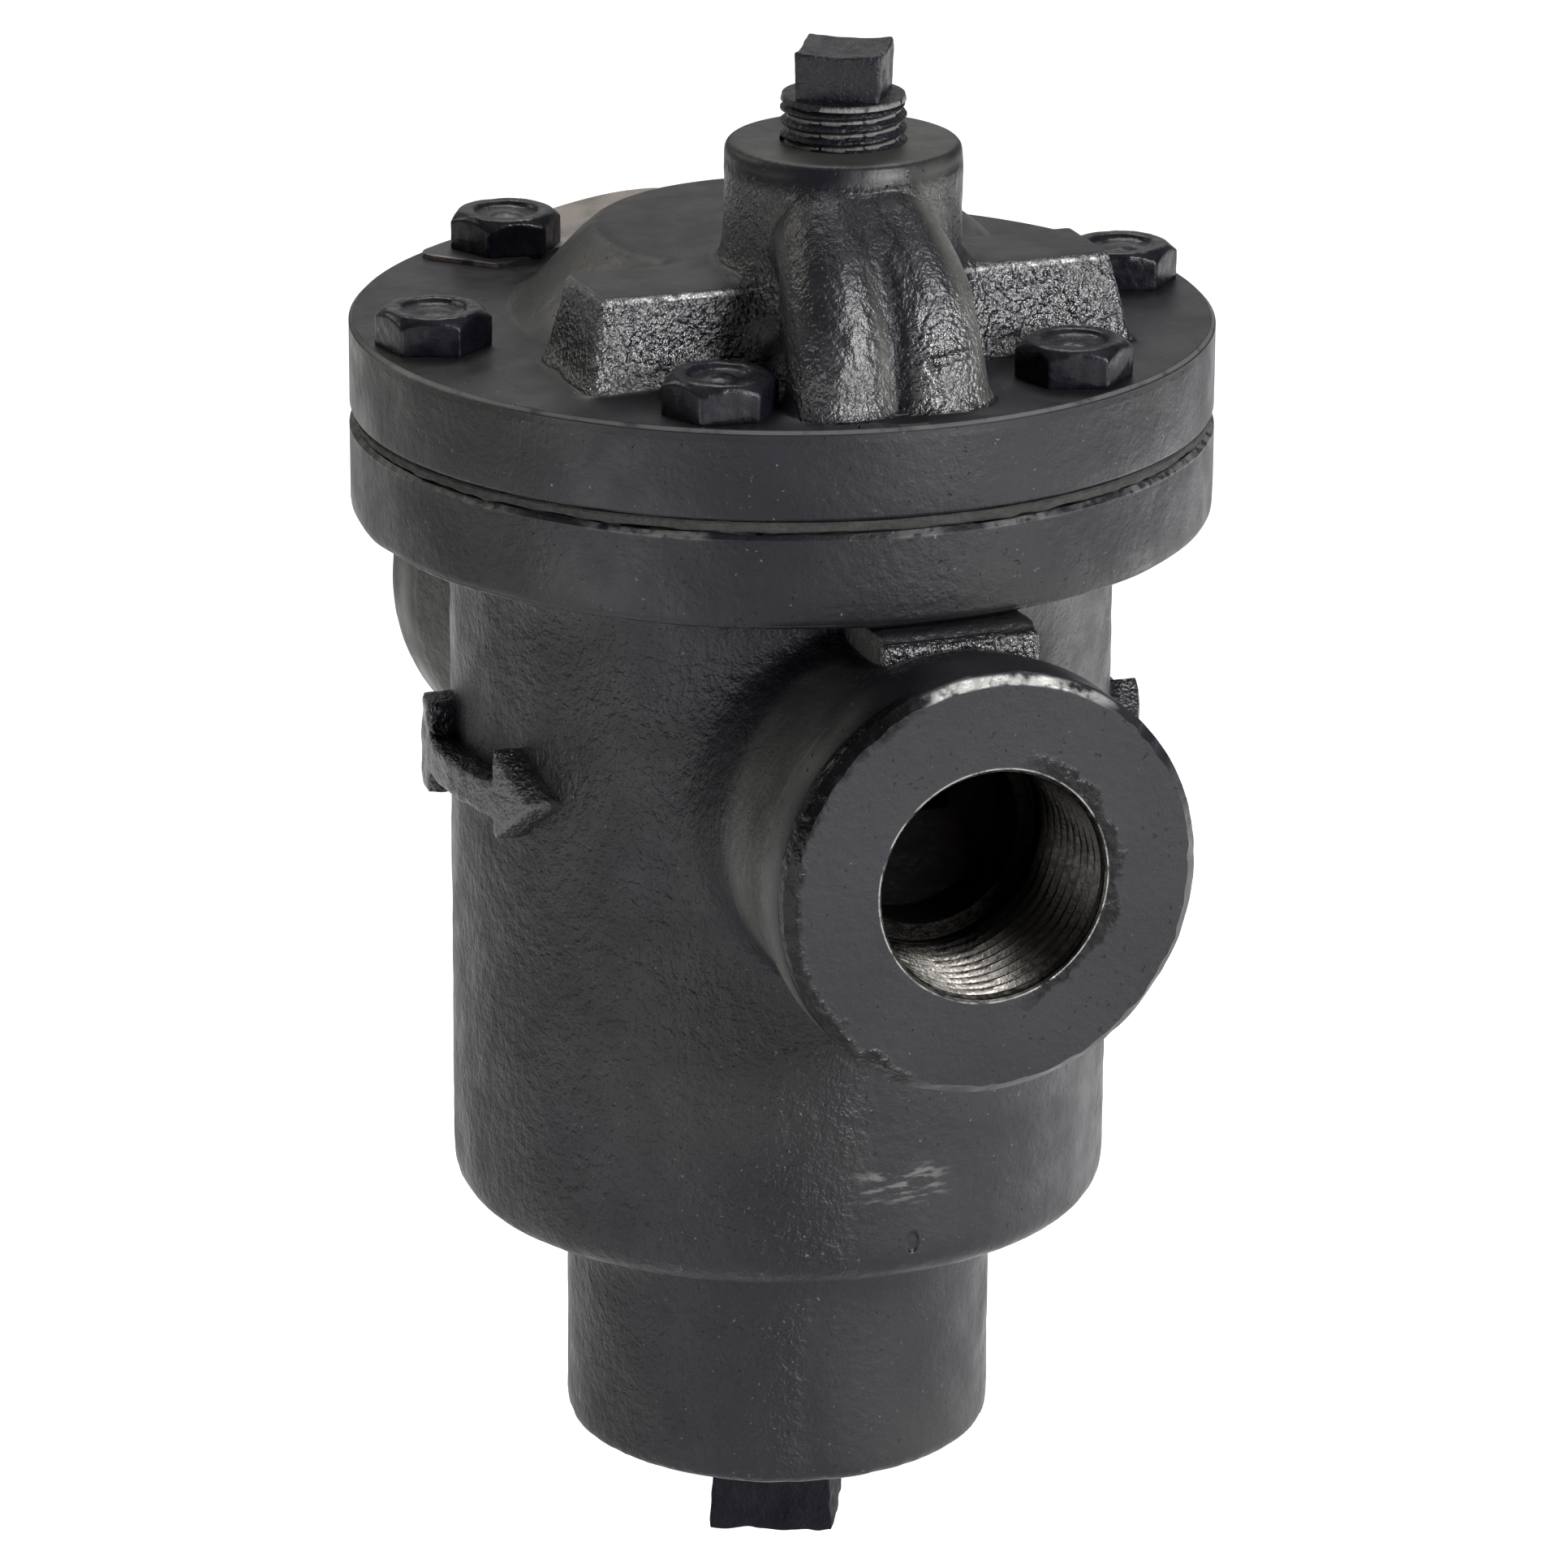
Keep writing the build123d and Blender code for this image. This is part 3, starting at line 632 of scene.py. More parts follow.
def port_wear(g, x, y, z):
    """Bare metal on the upper arc of each port's chamfer, and round its mouth."""
    up = g.minus(z, PORT_Z)
    from_port = g.radius(x, up)
    face = g.near(g.absolute(y), PORT_FACE_Y - 0.4, 0.9)
    arc_part = g.times(g.ramp(up, 17.5, 21.0), g.ramp(x, -9.0, -5.0))
    rim_edge = g.times(g.near(from_port, OUTLET_RIM_RADIUS - 0.75, 0.62), arc_part)
    mouth = g.times(g.near(from_port, PORT_CREST_RADIUS + 0.5, 0.30), 0.5)
    edges = g.times(face, g.most(rim_edge, mouth))
    return g.times(edges, g.patches(2.0, 6.0, 0.36, 0.56))


def thick_paint(g, x, y, z):
    """Glossy runs of paint: on the chamfer's near side and beside the thread."""
    from_port = g.radius(x, g.minus(z, PORT_Z))
    face = g.ramp(g.absolute(y), PORT_FACE_Y - 3.0, PORT_FACE_Y - 2.0)
    ragged = g.times(g.minus(g.noise(2.4, 5.0), 0.5), 4.0)
    edge = g.plus(from_port, ragged)
    chamfer = g.times(g.near(edge, OUTLET_RIM_RADIUS - 0.2, 1.7), g.ramp(x, -7.0, -11.0))
    mouth = g.times(g.near(edge, PORT_CREST_RADIUS + 1.2, 1.2), g.ramp(x, 2.0, 7.0))
    return g.times(face, g.most(chamfer, mouth))


def wing_edge_highlight(g, y, z):
    """Painted highlight along the wings' front top edges, as a broken line."""
    line = g.times(g.near(z, CAP_TOP_Z + DOME_HEIGHT - 0.5, 0.34), g.near(y, -24.6, 0.7))
    return g.times(line, g.patches(1.1, 4.0, 0.42, 0.62, 0.05, 0.70))


def scuffs(g, x, y, z):
    """A rubbed patch low on the barrel's front, in short level strokes."""
    patch = g.times(g.near(x, 0.6, 7.0), g.near(z, BARREL_Z + 12.0, 2.9))
    patch = g.times(patch, g.ramp(y, -30.0, -32.0))
    strokes = g.patches(1.0, 5.0, 0.50, 0.66, 0.0, 0.75, (0.34, 0.34, 1.5))
    return g.times(patch, strokes)


def chip(g, x, y, z):
    """One small flake missing near the barrel's foot."""
    along, up = g.minus(x, 1.9), g.minus(z, BARREL_Z + 5.0)
    place = g.radius(along, g.times(up, 0.6))
    return g.times(g.ramp(place, 0.9, 0.5), g.ramp(y, -30.0, -32.0))


def painted_iron():
    """Satin black paint over sand-cast iron, glossy where the sand left it coarse."""
    g = Graph("painted_iron")
    x, y, z = g.axes()
    grain = g.attribute("grain")
    pebble = g.noise(1.15, 3.0)
    fine = g.noise(0.36, 2.0)
    colour = g.blend(g.cloud(16.0, 3.0), PAINT_DARK, PAINT_LIGHT)
    colour = g.blend(g.patches(34.0, 2.0, 0.48, 0.70, 0.0, 0.6), colour, PAINT_WARM)
    # Painted highlight: a pale tint blended in where the skin's measure marks sloping flanks and sides that
    # would catch light.
    highlight_film = g.times(g.attribute("painted_sheen"), g.patches(6.0, 3.0, 0.30, 0.65, 0.50, 0.90))
    colour = g.blend(highlight_film, colour, PAINTED_HIGHLIGHT_FILM)
    specks = g.patches(0.50, 1.0, 0.735, 0.80)
    colour = g.blend(g.times(specks, 0.30), colour, DUST)
    pits = g.patches(0.8, 1.0, 0.27, 0.22)
    runs = thick_paint(g, x, y, z)
    # Worn paint on the body flange's edge and the barrel's scuffs, and a painted highlight on the cap
    # flange's edge.
    edge_wear_and_highlight = g.times(flange_wear_and_highlight(g, x, y, z), 0.7)
    # Bare metal worn on the ports' chamfers and mouths, and a painted highlight on the wings' front top
    # edges.
    bare_and_highlight = g.most(port_wear(g, x, y, z), wing_edge_highlight(g, y, z))
    flake = chip(g, x, y, z)
    colour = g.blend(g.most(pits, g.most(runs, flake)), colour, FRESH_PAINT)
    colour = g.blend(g.most(edge_wear_and_highlight, scuffs(g, x, y, z)), colour, WORN_PAINT_AND_HIGHLIGHT)
    colour = g.blend(bare_and_highlight, colour, BARE_METAL_AND_HIGHLIGHT)
    elbow = g.times(g.ramp(y, -27.0, -31.0), g.ramp(z, CAP_TOP_Z + 0.3, CAP_TOP_Z + 1.5))
    # Painted shade in the valley between the elbow's lobes: there the specular is dimmed.
    groove_shade = g.times(elbow, g.near(x, -2.9, 1.2))
    groove_shade = g.times(groove_shade, g.ramp(z, CAP_TOP_Z + 18.0, CAP_TOP_Z + 14.0, 0.0, 0.8))
    elbow = g.times(elbow, g.ramp(z, CAP_TOP_Z + 18.0, CAP_TOP_Z + 12.0, 0.55, 1.0))
    shine = g.cloud(5.0, 4.0, 0.36, 0.50)
    coarse = g.ramp(grain, 0.6, 1.0)
    glossy = g.most(g.most(coarse, runs), g.times(elbow, 0.5))
    roughness = g.minus(shine, g.times(glossy, 0.17))
    sheen = g.most(g.ramp(grain, 0.5, 0.9, 0.22, 0.68),
                   g.times(elbow, g.ramp(coarse, 0.0, 0.8, 0.56, 0.86)))
    # Less specular on the thick paint runs, and painted shade in the elbow's valley.
    dull_runs_and_groove_shade = g.most(groove_shade, g.times(runs, 0.45))
    g.fill(g.shader, Specular_IOR_Level=g.times(sheen, g.minus(1.0, dull_runs_and_groove_shade)), Metallic=g.times(bare_and_highlight, 0.8))
    beads = g.minus(0.7, g.cells(0.62))
    height = g.times(pebble, g.ramp(grain, 0.0, 0.5, 0.02, 0.62))
    height = g.plus(height, g.times(beads, g.times(coarse, 0.34)))
    height = g.plus(height, g.times(fine, g.ramp(grain, 0.0, 0.9, 0.03, 0.40)))
    height = g.plus(height, g.times(g.times(runs, pebble), 0.35))
    hollows = g.most(flake, g.times(pits, 0.3))
    return g.surface(colour, roughness, g.minus(height, g.times(hollows, 0.6)), 0.60)


def painted_steel(name, gloss, bump, specular):
    """Paint on machined heads and plugs, thin on the corners."""
    g = Graph(name, Specular_IOR_Level=specular)
    worn = g.ramp(g.plus(g.pointiness(), g.times(g.noise(0.9, 4.0), 0.10)), 0.625, 0.70, 0.0, 0.8)
    colour = g.blend(g.cloud(4.0, 3.0), PAINT_DARK, PAINT_LIGHT)
    colour = g.blend(worn, colour, CORNER_WEAR)
    return g.surface(colour, g.cloud(1.6, 3.0, gloss, gloss + 0.18), g.noise(0.5, 3.0), bump)


def bare_thread():
    """Cut cast iron in the tapped ports: bright near the mouth, darker with painted shade deep inside and on
    the right, and in the thread roots.
    """
    g = Graph("bare_thread", Metallic=1.0)
    x, y, z = g.axes()
    depth = g.minus(PORT_FACE_Y, g.absolute(y))
    colour = g.blend(g.cloud(1.2, 4.0), CUT_DARK, CUT_LIGHT)
    # Painted shade in the thread roots.
    groove_shade = g.ramp(g.radius(x, g.minus(z, PORT_Z)), 12.9, 13.3)
    colour = g.blend(g.times(groove_shade, 0.8), colour, CUT_GROOVE_SHADE)
    # Painted shade: darker deep in the bore and on its right side.
    dark = g.most(g.ramp(depth, 9.0, 16.0), g.ramp(x, 0.0, 8.0, 0.0, 0.90))
    colour = g.blend(dark, colour, CUT_DEEP_SHADE)
    return g.surface(colour, g.cloud(0.7, 3.0, 0.26, 0.48), g.noise(0.35, 3.0), 0.05)


def shaded_inside_iron():
    """Unpainted cast surface inside, a little rusty, and darkened to near black as painted shade."""
    g = Graph("shaded_inside_iron", Specular_IOR_Level=0.04)
    # Painted shade: the base tones are nearly black where light would barely reach.
    colour = g.blend(g.patches(9.0, 5.0, 0.45, 0.68), SHADED_CAST_BLACK, CAST_RUST)
    return g.surface(colour, g.cloud(2.0, 3.0, 0.55, 0.85), g.noise(0.9, 4.0), 0.2)


def machined_iron():
    """Turned joint faces, with fine rings about the axis."""
    g = Graph("machined_iron", Metallic=1.0)
    x, y, _ = g.axes()
    rings = g.math("SINE", g.times(g.radius(x, y), 2 * math.pi / RING_PITCH))
    colour = g.blend(g.patches(8.0, 4.0, 0.35, 0.7), TURNED_LIGHT, TURNED_DARK)
    return g.surface(colour, g.cloud(3.0, 3.0, 0.32, 0.55), rings, 0.012)


def gasket_fibre():
    g = Graph("gasket", Specular_IOR_Level=0.2)
    colour = g.blend(g.noise(0.7, 4.0, (1, 1, 3)), FIBRE_DARK, FIBRE_LIGHT)
    return g.surface(colour, g.cloud(1.4, 3.0, 0.65, 0.9), g.noise(0.5, 4.0), 0.12)


def tag_metal():
    """Dull rolled aluminium, painted over where the screw holds it down but for its far edge."""
    g = Graph("tag_metal")
    x, y, _ = g.axes()
    turn = g.math("DEGREES", g.math("ARCTAN2", y, x))
    painted = g.ramp(g.plus(turn, g.times(g.noise(3.0, 5.0), 5.0)), 116.5, 118.0)
    rim = g.times(g.near(turn, TAG_END, 0.9), g.patches(1.5, 5.0, 0.4, 0.6))
    painted = g.times(painted, g.minus(1.0, rim))
    metal = g.blend(g.patches(5.0, 4.0, 0.4, 0.7), TAG_LIGHT, TAG_DARK)
    g.fill(g.shader, Metallic=g.ramp(painted, 0.0, 1.0, 0.85, 0.0))
    height = g.plus(g.noise(0.4, 3.0, (1, 8, 1)), g.times(painted, g.noise(1.2, 3.0)))
    roughness = g.cloud(0.6, 3.0, 0.36, 0.55, (1, 9, 1))
    return g.surface(g.blend(painted, metal, PAINT_LIGHT), roughness, height, 0.06)


def stainless(name, low, high, stretch, size=0.5):
    """Stainless steel with a drawn or ground direction."""
    g = Graph(name, Metallic=1.0)
    colour = g.blend(g.noise(6.0, 3.0), STAINLESS_DARK, STAINLESS_LIGHT)
    streak = g.noise(size, 3.0, stretch)
    return g.surface(colour, g.ramp(streak, 0.3, 0.7, low, high), streak, 0.012)


def floor_material():
    g = Graph("floor", Specular_IOR_Level=0.2, Roughness=0.6)
    g.fill(g.shader, Base_Color=g.blend(g.noise(900.0, 2.0), FLOOR_DARK, FLOOR_LIGHT))
    return g.material


PAINT = painted_iron()
STEEL = painted_steel("painted_steel", 0.20, 0.05, 0.18)
PLUG_PAINT = painted_steel("painted_plug", 0.34, 0.24, 0.23)
DRAIN_PAINT = painted_steel("drain_plug_paint", 0.52, 0.35, 0.07)
THREAD = bare_thread()
INSIDE = shaded_inside_iron()
MACHINED = machined_iron()
GASKET = gasket_fibre()
TAG = tag_metal()
DRAWN = stainless("drawn_stainless", 0.22, 0.42, (1, 1, 0.06))
ROLLED = stainless("rolled_stainless", 0.26, 0.44, (0.08, 1, 1))
GROUND = stainless("ground_stainless", 0.12, 0.24, (1, 0.2, 1), 0.3)


# ---- body ---------------------------------------------------------------------------------
def port_shell(axis, rim_radius):
    """Cast barrel of a port, one millimetre too long so that its face can be cut."""
    outer = raised(PORT_FACE_Y, (PORT_NECK_RADIUS, -16.8), (rim_radius, -7.0), (rim_radius, 1), (0, 1))
    return lathe([(0, 20), (PORT_NECK_RADIUS, 20), *outer], (0, 0, PORT_Z), axis)


def flow_arrow(side):
    """Raised arrow wrapped round the barrel's side, pointing to the outlet."""
    outline = [(10.0, 5.3), (5.2, 5.3), (5.2, 1.4), (-12.0, 1.4), (-12.0, 5.4), (-18.4, 0.0),
               (-12.0, -5.4), (-12.0, -2.7), (5.2, -2.7), (5.2, -5.3), (10.0, -5.3)]
    middle = PORT_Z - 2.0
    bar = prism([(y, middle + z) for y, z in outline], *sorted((side * 26.0, side * 60.0)), "YZ")
    return carve(bar, post(BARREL_RADIUS + 3.3, middle - 10, middle + 10, segments=192), "INTERSECT")


def body_outside():
    """Overlapping solids of the casting: barrel, boss, the collar between them, ports and flange core."""
    barrel = [(0, BARREL_Z), *arc((BARREL_RADIUS - 3.5, BARREL_Z + 3.5), 3.5, -90, 0),
              (BARREL_RADIUS, FLANGE_Z + 3), (0, FLANGE_Z + 3)]
    boss = [(0, BOSS_Z), *arc((BOSS_RADIUS - 0.9, BOSS_Z + 0.9), 0.9, -90, 0, 4),
            (BOSS_RADIUS, BARREL_Z + 6), (0, BARREL_Z + 6)]
    collar = raised(BARREL_Z, (0, -1.6), (BOSS_RADIUS + 0.9, -1.6), (BOSS_RADIUS + 1.7, -0.8),
                    (BOSS_RADIUS + 1.7, 2), (0, 2))
    return [lathe(barrel), lathe(boss), lathe(collar),
            port_shell("-Y", OUTLET_RIM_RADIUS), port_shell("+Y", INLET_RIM_RADIUS),
            post(FLANGE_RADIUS - 3, FLANGE_Z + 0.15, FLANGE_Z + 6)]


def crisp_details():
    """Raised parts with small fillets: the arrows and the blocks under the flange."""
    arrows = [flow_arrow(-1), flow_arrow(1)]
    blocks = [block((-7.2, -50.0, PORT_Z + 8), (10.4, -30, FLANGE_Z - 1.3)),
              block((-7.2, -48.7, PORT_Z + 8), (10.4, -30, FLANGE_Z - 0.3)),
              block((-7.2, -43.6, PORT_Z + 8), (10.4, -30, FLANGE_Z + 3)),
              block((-7.5, 30, PORT_Z + 8), (7.5, 43, FLANGE_Z + 3))]
    solid = remesh(combine("details", arrows + blocks), DETAIL_VOXEL)
    relax(solid, 3)
    roughen(solid, lambda co, n: body_grain(co, n) * (0.20 * lumps(co, 1.4) + 0.16 * lumps(co, 3.4, 2.0)))
    return solid


def body_grain(co, normals):
    """Roughness of the cast skin over the body, 0 smooth to 1 coarse."""
    x, y, z = co.T
    turn = np.degrees(np.arctan2(y, x))
    radius = np.hypot(x, y)
    seam = np.where(z > BARREL_Z, -96, -104) + 3 * lumps(co, 12.0)
    facet = ease(turn - seam, -4, 4) * ease(-turn, 30, 40) * (z < FLANGE_Z)
    amount = 0.46 - 0.30 * facet
    port = np.hypot(x, z - PORT_Z)
    amount = np.where((port < 26) & (np.abs(y) > 40), 0.30, amount)
    amount = np.where((np.abs(y) > PORT_FACE_Y - 8) & (port < 26), 0.10, amount)
    ledge = (np.abs(x) < 11) & (y < -48.8) & (y > -52) & (z > PORT_Z + 18) & (z < FLANGE_Z - 1.1)
    amount = np.where(ledge, 1.0, amount)
    arrow = (radius > BARREL_RADIUS + 0.9) & (np.abs(y) < 20) & (z < FLANGE_Z - 4) & (z > BARREL_Z)
    amount = np.where(arrow, 0.8, amount)
    return np.where(z > FLANGE_Z + 0.5, 0.17, amount)


def body_painted_sheen(co, normals):
    """A thin pale tint: painted highlight on the left flank of each port."""
    x, y, z = co.T
    far = np.abs(y)
    along = ease(far, 38.0, 43.0) * (1 - ease(far, 58.0, 61.0))
    return 0.5 * along * ease(-normals[:, 0], 0.35, 0.8) * (np.hypot(x, z - PORT_Z) < 26.5)


def body_hollows():
    """Solids that cut the chamber, duct, strainer pocket, ports, passage and screw holes."""
    chamber = post(CHAMBER_RADIUS, FLOOR_Z, BODY_TOP_Z + 2)
    carve(chamber, block((-40, 22.0, FLOOR_Z - 1), (40, 40, PORT_Z + 14)))
    carve(chamber, post(9.0, FLOOR_Z - 1, FLOOR_Z + 4, 0, BUCKET_Y))
    duct = carve(post(CHAMBER_RADIUS, BARREL_Z, BODY_TOP_Z),
                 block((-40, 24.5, BARREL_Z + 4.5), (40, 40, PORT_Z + 11)), "INTERSECT")
    cutters = [chamber, duct, block((-9, 5, BARREL_Z + 4.5), (9, 27, STRAINER_TOP_Z)),
               post(14.0, BOSS_Z + 17, STRAINER_TOP_Z), post(8.9, STRAINER_TOP_Z - 1, STRAINER_TOP_Z + 1.3),
               post(6.5, STRAINER_TOP_Z - 1, FLOOR_Z + 5, 0, BUCKET_Y),
               post(10.25, BOSS_Z - 1, BOSS_Z + 18),
               block((-5, PASSAGE_Y[0], PORT_Z), (5, PASSAGE_Y[1], BODY_TOP_Z + 1))]
    for axis, depth in (("-Y", 38.0), ("+Y", 28.0)):
        bore = rod(axis, 10.5, depth, PORT_FACE_Y, (0, 0, PORT_Z), 96)
        cutters += [port_tap(axis), bore, mouth_cutter(axis)]
    return cutters + screw_holes(0.05, FLANGE_Z - 3, BODY_TOP_Z + 1)


def port_tap(axis):
    """Tapped hole with a pipe thread of 14 to the inch, a little tapered."""
    tap = thread(13.15, 12.32, PORT_PITCH, PORT_FACE_Y - PORT_THREAD_LENGTH, PORT_FACE_Y + 0.4,
                 taper=0.008, fade=1.3)
    tap.data.transform(Matrix.Translation((0, 0, PORT_Z)) @ TURNS[axis])
    return tap


def mouth_cutter(axis):
    """Countersink at the mouth of a tapped port."""
    profile = raised(PORT_FACE_Y, (0, -0.6), (12.4, -0.6), (12.95, 0.1), (12.95, 2), (0, 2))
    return lathe(profile, (0, 0, PORT_Z), axis, 128)


def face_cutter(axis, rim_radius):
    """Cuts a port's face flat and leaves a ragged chamfer on its rim."""
    profile = raised(PORT_FACE_Y, (0, 0), (rim_radius - 1.1, 0), (rim_radius - 0.5, -0.6),
                     (rim_radius + 0.1, -1.2), (rim_radius + 2.1, -3.2), (rim_radius + 2.1, 3), (0, 3))
    cutter = lathe(profile, (0, 0, PORT_Z), axis, 300)
    co = read_coords(cutter)
    from_port = np.hypot(co[:, 0], co[:, 2] - PORT_Z)
    edge = np.abs(from_port - rim_radius + 0.5) < 0.8
    nicks = 0.20 * lumps(co, 1.3) + 0.16 * lumps(co, 3.5, 2.0)
    scale = 1 + np.where(edge, nicks, 0) / from_port.clip(1)
    co[:, 0] *= scale
    co[:, 2] = PORT_Z + (co[:, 2] - PORT_Z) * scale
    write_coords(cutter, co)
    return cutter


def flange_disc(low, high, low_round, high_round):
    """Turned disc with rounded lower and chamfered upper rim."""
    profile = [(0, low), *arc((FLANGE_RADIUS - low_round, low + low_round), low_round, -90, 0, 6)]
    profile += [(FLANGE_RADIUS, low + (high - low) * k / 8) for k in range(3, 7)]
    profile += [(FLANGE_RADIUS, high - high_round), (FLANGE_RADIUS - high_round, high), (0, high)]
    return lathe(profile, segments=360)


def make_body():
    casting = remesh(combine("casting", body_outside()), BODY_VOXEL)
    relax(casting, 3)
    fill_corners(casting, 36)
    relax(casting, 4)
    roughen(casting, lambda co, n: body_grain(co, n) * (0.12 * lumps(co, 1.9) + 0.12 * lumps(co, 4.4, 9.0)))
    flange = flange_disc(FLANGE_Z, BODY_TOP_Z, 1.4, 0.5)
    roughen(flange, lambda co, _: 0.12 * lumps(co, 6.0) * ease(np.hypot(co[:, 0], co[:, 1]), 40, 47))
    body = merge([casting, crisp_details(), flange])
    carve_all(body, [face_cutter("-Y", OUTLET_RIM_RADIUS), face_cutter("+Y", INLET_RIM_RADIUS)])
    carve_all(body, body_hollows())
    set_measure(body, "grain", body_grain)
    set_measure(body, "painted_sheen", body_painted_sheen)

    def pick(centres):
        x, y, z = centres.T
        port, radius, far = np.hypot(x, z - PORT_Z) < 13.6, np.hypot(x, y), np.abs(y)
        inner = (radius < CHAMBER_RADIUS + 0.2) & (z > BARREL_Z - 1)
        inner |= (radius < 14.2) & (z < BARREL_Z) & (z > BOSS_Z + 0.1)
        inner |= (np.abs(x) < 5.1) & (y < PASSAGE_Y[1] + 0.1) & (y > PASSAGE_Y[0] - 0.1) & (z > PORT_Z + 9)
        top = (z > BODY_TOP_Z - 0.05) & (radius < FLANGE_RADIUS - 0.6)
        threaded = port & (far > PORT_FACE_Y - 21) & (far < PORT_FACE_Y - 0.02)
        return np.select([threaded, top, inner | port & (far < 45)], [1, 3, 2], 0)

    finish_piece(body, "body_casting", "trap", ["body"],
                 [PAINT, THREAD, INSIDE, MACHINED], pick=pick)


# ---- cap ----------------------------------------------------------------------------------
def ridge():
    """The outlet elbow over the cap: two rounded lobes and the web between them."""
    web = RIDGE_RADIUS - LOBE_RADIUS
    parts = []
    for shift, fan, lobe in LOBES:
        turn = Matrix.Rotation(math.radians(fan), 4, "Z") @ Matrix.Rotation(math.pi / 2, 4, "Y")
        parts.append(torus(web, lobe, Matrix.Translation((shift, RIDGE_Y, CAP_TOP_Z + 0.6)) @ turn))
    parts.append(rod("+X", web, -9.0, 4.0, (0, RIDGE_Y, CAP_TOP_Z), 96))
    keep = block((-20, -46.4, CAP_TOP_Z - 2), (20, RIDGE_Y + 4, CAP_TOP_Z + 25))
    return carve(merge(parts), keep, "INTERSECT")


def cap_outside():
    """Overlapping solids of the cap: dome, neck, wings, knobs, ridge and the plate under them."""
    dome = [(0, CAP_TOP_Z - 1), (30, CAP_TOP_Z - 1), (30, CAP_TOP_Z), (22.6, CAP_TOP_Z + 8.4),
            *arc((19.0, CAP_TOP_Z + DOME_HEIGHT - 4.0), 4.0, 35, 90, 5), (0, CAP_TOP_Z + DOME_HEIGHT)]
    neck = [(0, CAP_TOP_Z - 1), (NECK_RADIUS, CAP_TOP_Z - 1),
            *arc((NECK_RADIUS - 1.0, NECK_TOP_Z - 1.0), 1.0, 0, 90, 4), (0, NECK_TOP_Z)]
    draft = DOME_HEIGHT * math.tan(math.radians(13))
    wings = frustum_block((-32.0, 31.0, -26.6, -10.6),
                          (-32.0 + draft, 31.0 - draft, -26.6 + draft, -10.6 - draft),
                          CAP_TOP_Z - 0.5, CAP_TOP_Z + DOME_HEIGHT)
    return [lathe(dome), lathe(neck, (0, NECK_Y, 0)), wings,
            *(ball(radius, place) for radius, place in KNOBS), ridge(),
            post(FLANGE_RADIUS + 2, CAP_TOP_Z - 2.6, CAP_TOP_Z, segments=256)]


def cap_grain(co, normals):
    """Roughness of the cap's skin: coarse on the fronts, smooth on the tops."""
    x, y, z = co.T
    up = z - CAP_TOP_Z
    nx, ny, nz = normals.T
    neck = np.hypot(x, y - NECK_Y)
    slope = 1 - ease(nz, 0.80, 0.95)
    amount = 0.06 + 0.12 * slope * (up > 0.5)
    front = ease(-y, 17.0, 22.0) * ease(y, -29.5, -27.5) * ease(-ny, 0.15, 0.5)
    front *= (1 - ease(up, 9.5, 12.5)) * (up > 0.6)
    end = ease(np.abs(x), 24.0, 26.5) * ease(np.abs(nx), 0.6, 0.85) * (up > 0.6) * (y < -10)
    amount = np.maximum(amount, np.maximum(front * (neck > 10.0), 0.85 * end))
    ridge = ease(-y, 26.0, 30.0) * (np.abs(x) < 14) * (up > 0.6)
    near_lobe = ease(x, -2.4, -0.8) * (1 - ease(up, 9.0, 15.0))
    foot = 0.7 * (1 - ease(up, 2.0, 7.0))
    amount = np.maximum(amount, ridge * (0.38 + 0.56 * np.maximum(near_lobe, foot)))
    wall = (neck < NECK_RADIUS + 1.6) & (up > 10.5) & (nz < 0.6)
    amount = np.where(wall, np.maximum(amount, 0.68), amount)
    below_top = NECK_TOP_Z - z
    amount = np.where(neck < NECK_RADIUS + 1, amount * ease(below_top, 1.4, 3.6) + 0.08, amount)
    return np.where(up < -0.6, 0.17, amount)


def cap_painted_sheen(co, normals):
    """How much painted highlight the cap gets: a pale tint on its sloping flanks and fillets, and the
    elbow's right side.
    """
    x, y, z = co.T
    up = z - CAP_TOP_Z
    nx, _, nz = normals.T
    slope = ease(nz, 0.28, 0.55) * (1 - ease(nz, 0.90, 0.965))
    flank = slope * (up > 0.15) * ease(y, -24.0, -21.0) * (z < NECK_TOP_Z - 3)
    flank *= (1 - 0.7 * ease(y, -6.0, 10.0)) * (0.3 + 0.7 * ease(-x, -6.0, 8.0))
    side = 0.8 * ease(nx, 0.22, 0.60) * ease(-y, 27.0, 31.0) * (np.abs(x) < 12) * (up > 0.8)
    end = 0.6 * slope * (x < -24.0) * (up > 0.15)
    from_knob = np.linalg.norm(co - np.array(KNOB_PLACE), axis=1)
    # Painted highlight on the knob's top, and a little on the neck's top.
    knob = 0.7 * (from_knob < 4.2) * ease(nz, 0.35, 0.7)
    neck_top = 0.35 * (z > NECK_TOP_Z - 0.6) * (nz > 0.9)
    return np.maximum.reduce([flank, side, end, knob, neck_top])


def cap_skin(co, normals):
    """Height of the cap's cast skin, with one short scar across the near lobe."""
    skin = cap_grain(co, normals) * (0.09 * lumps(co, 1.35) + 0.22 * lumps(co, 3.6, 5.0))
    x, y, z = co.T
    scar = (np.abs(x - 2.2) < 2.3) & (y < -36) & (np.abs(z - CAP_TOP_Z - 6.0 - 0.1 * x) < 0.45)
    return skin + 0.40 * scar


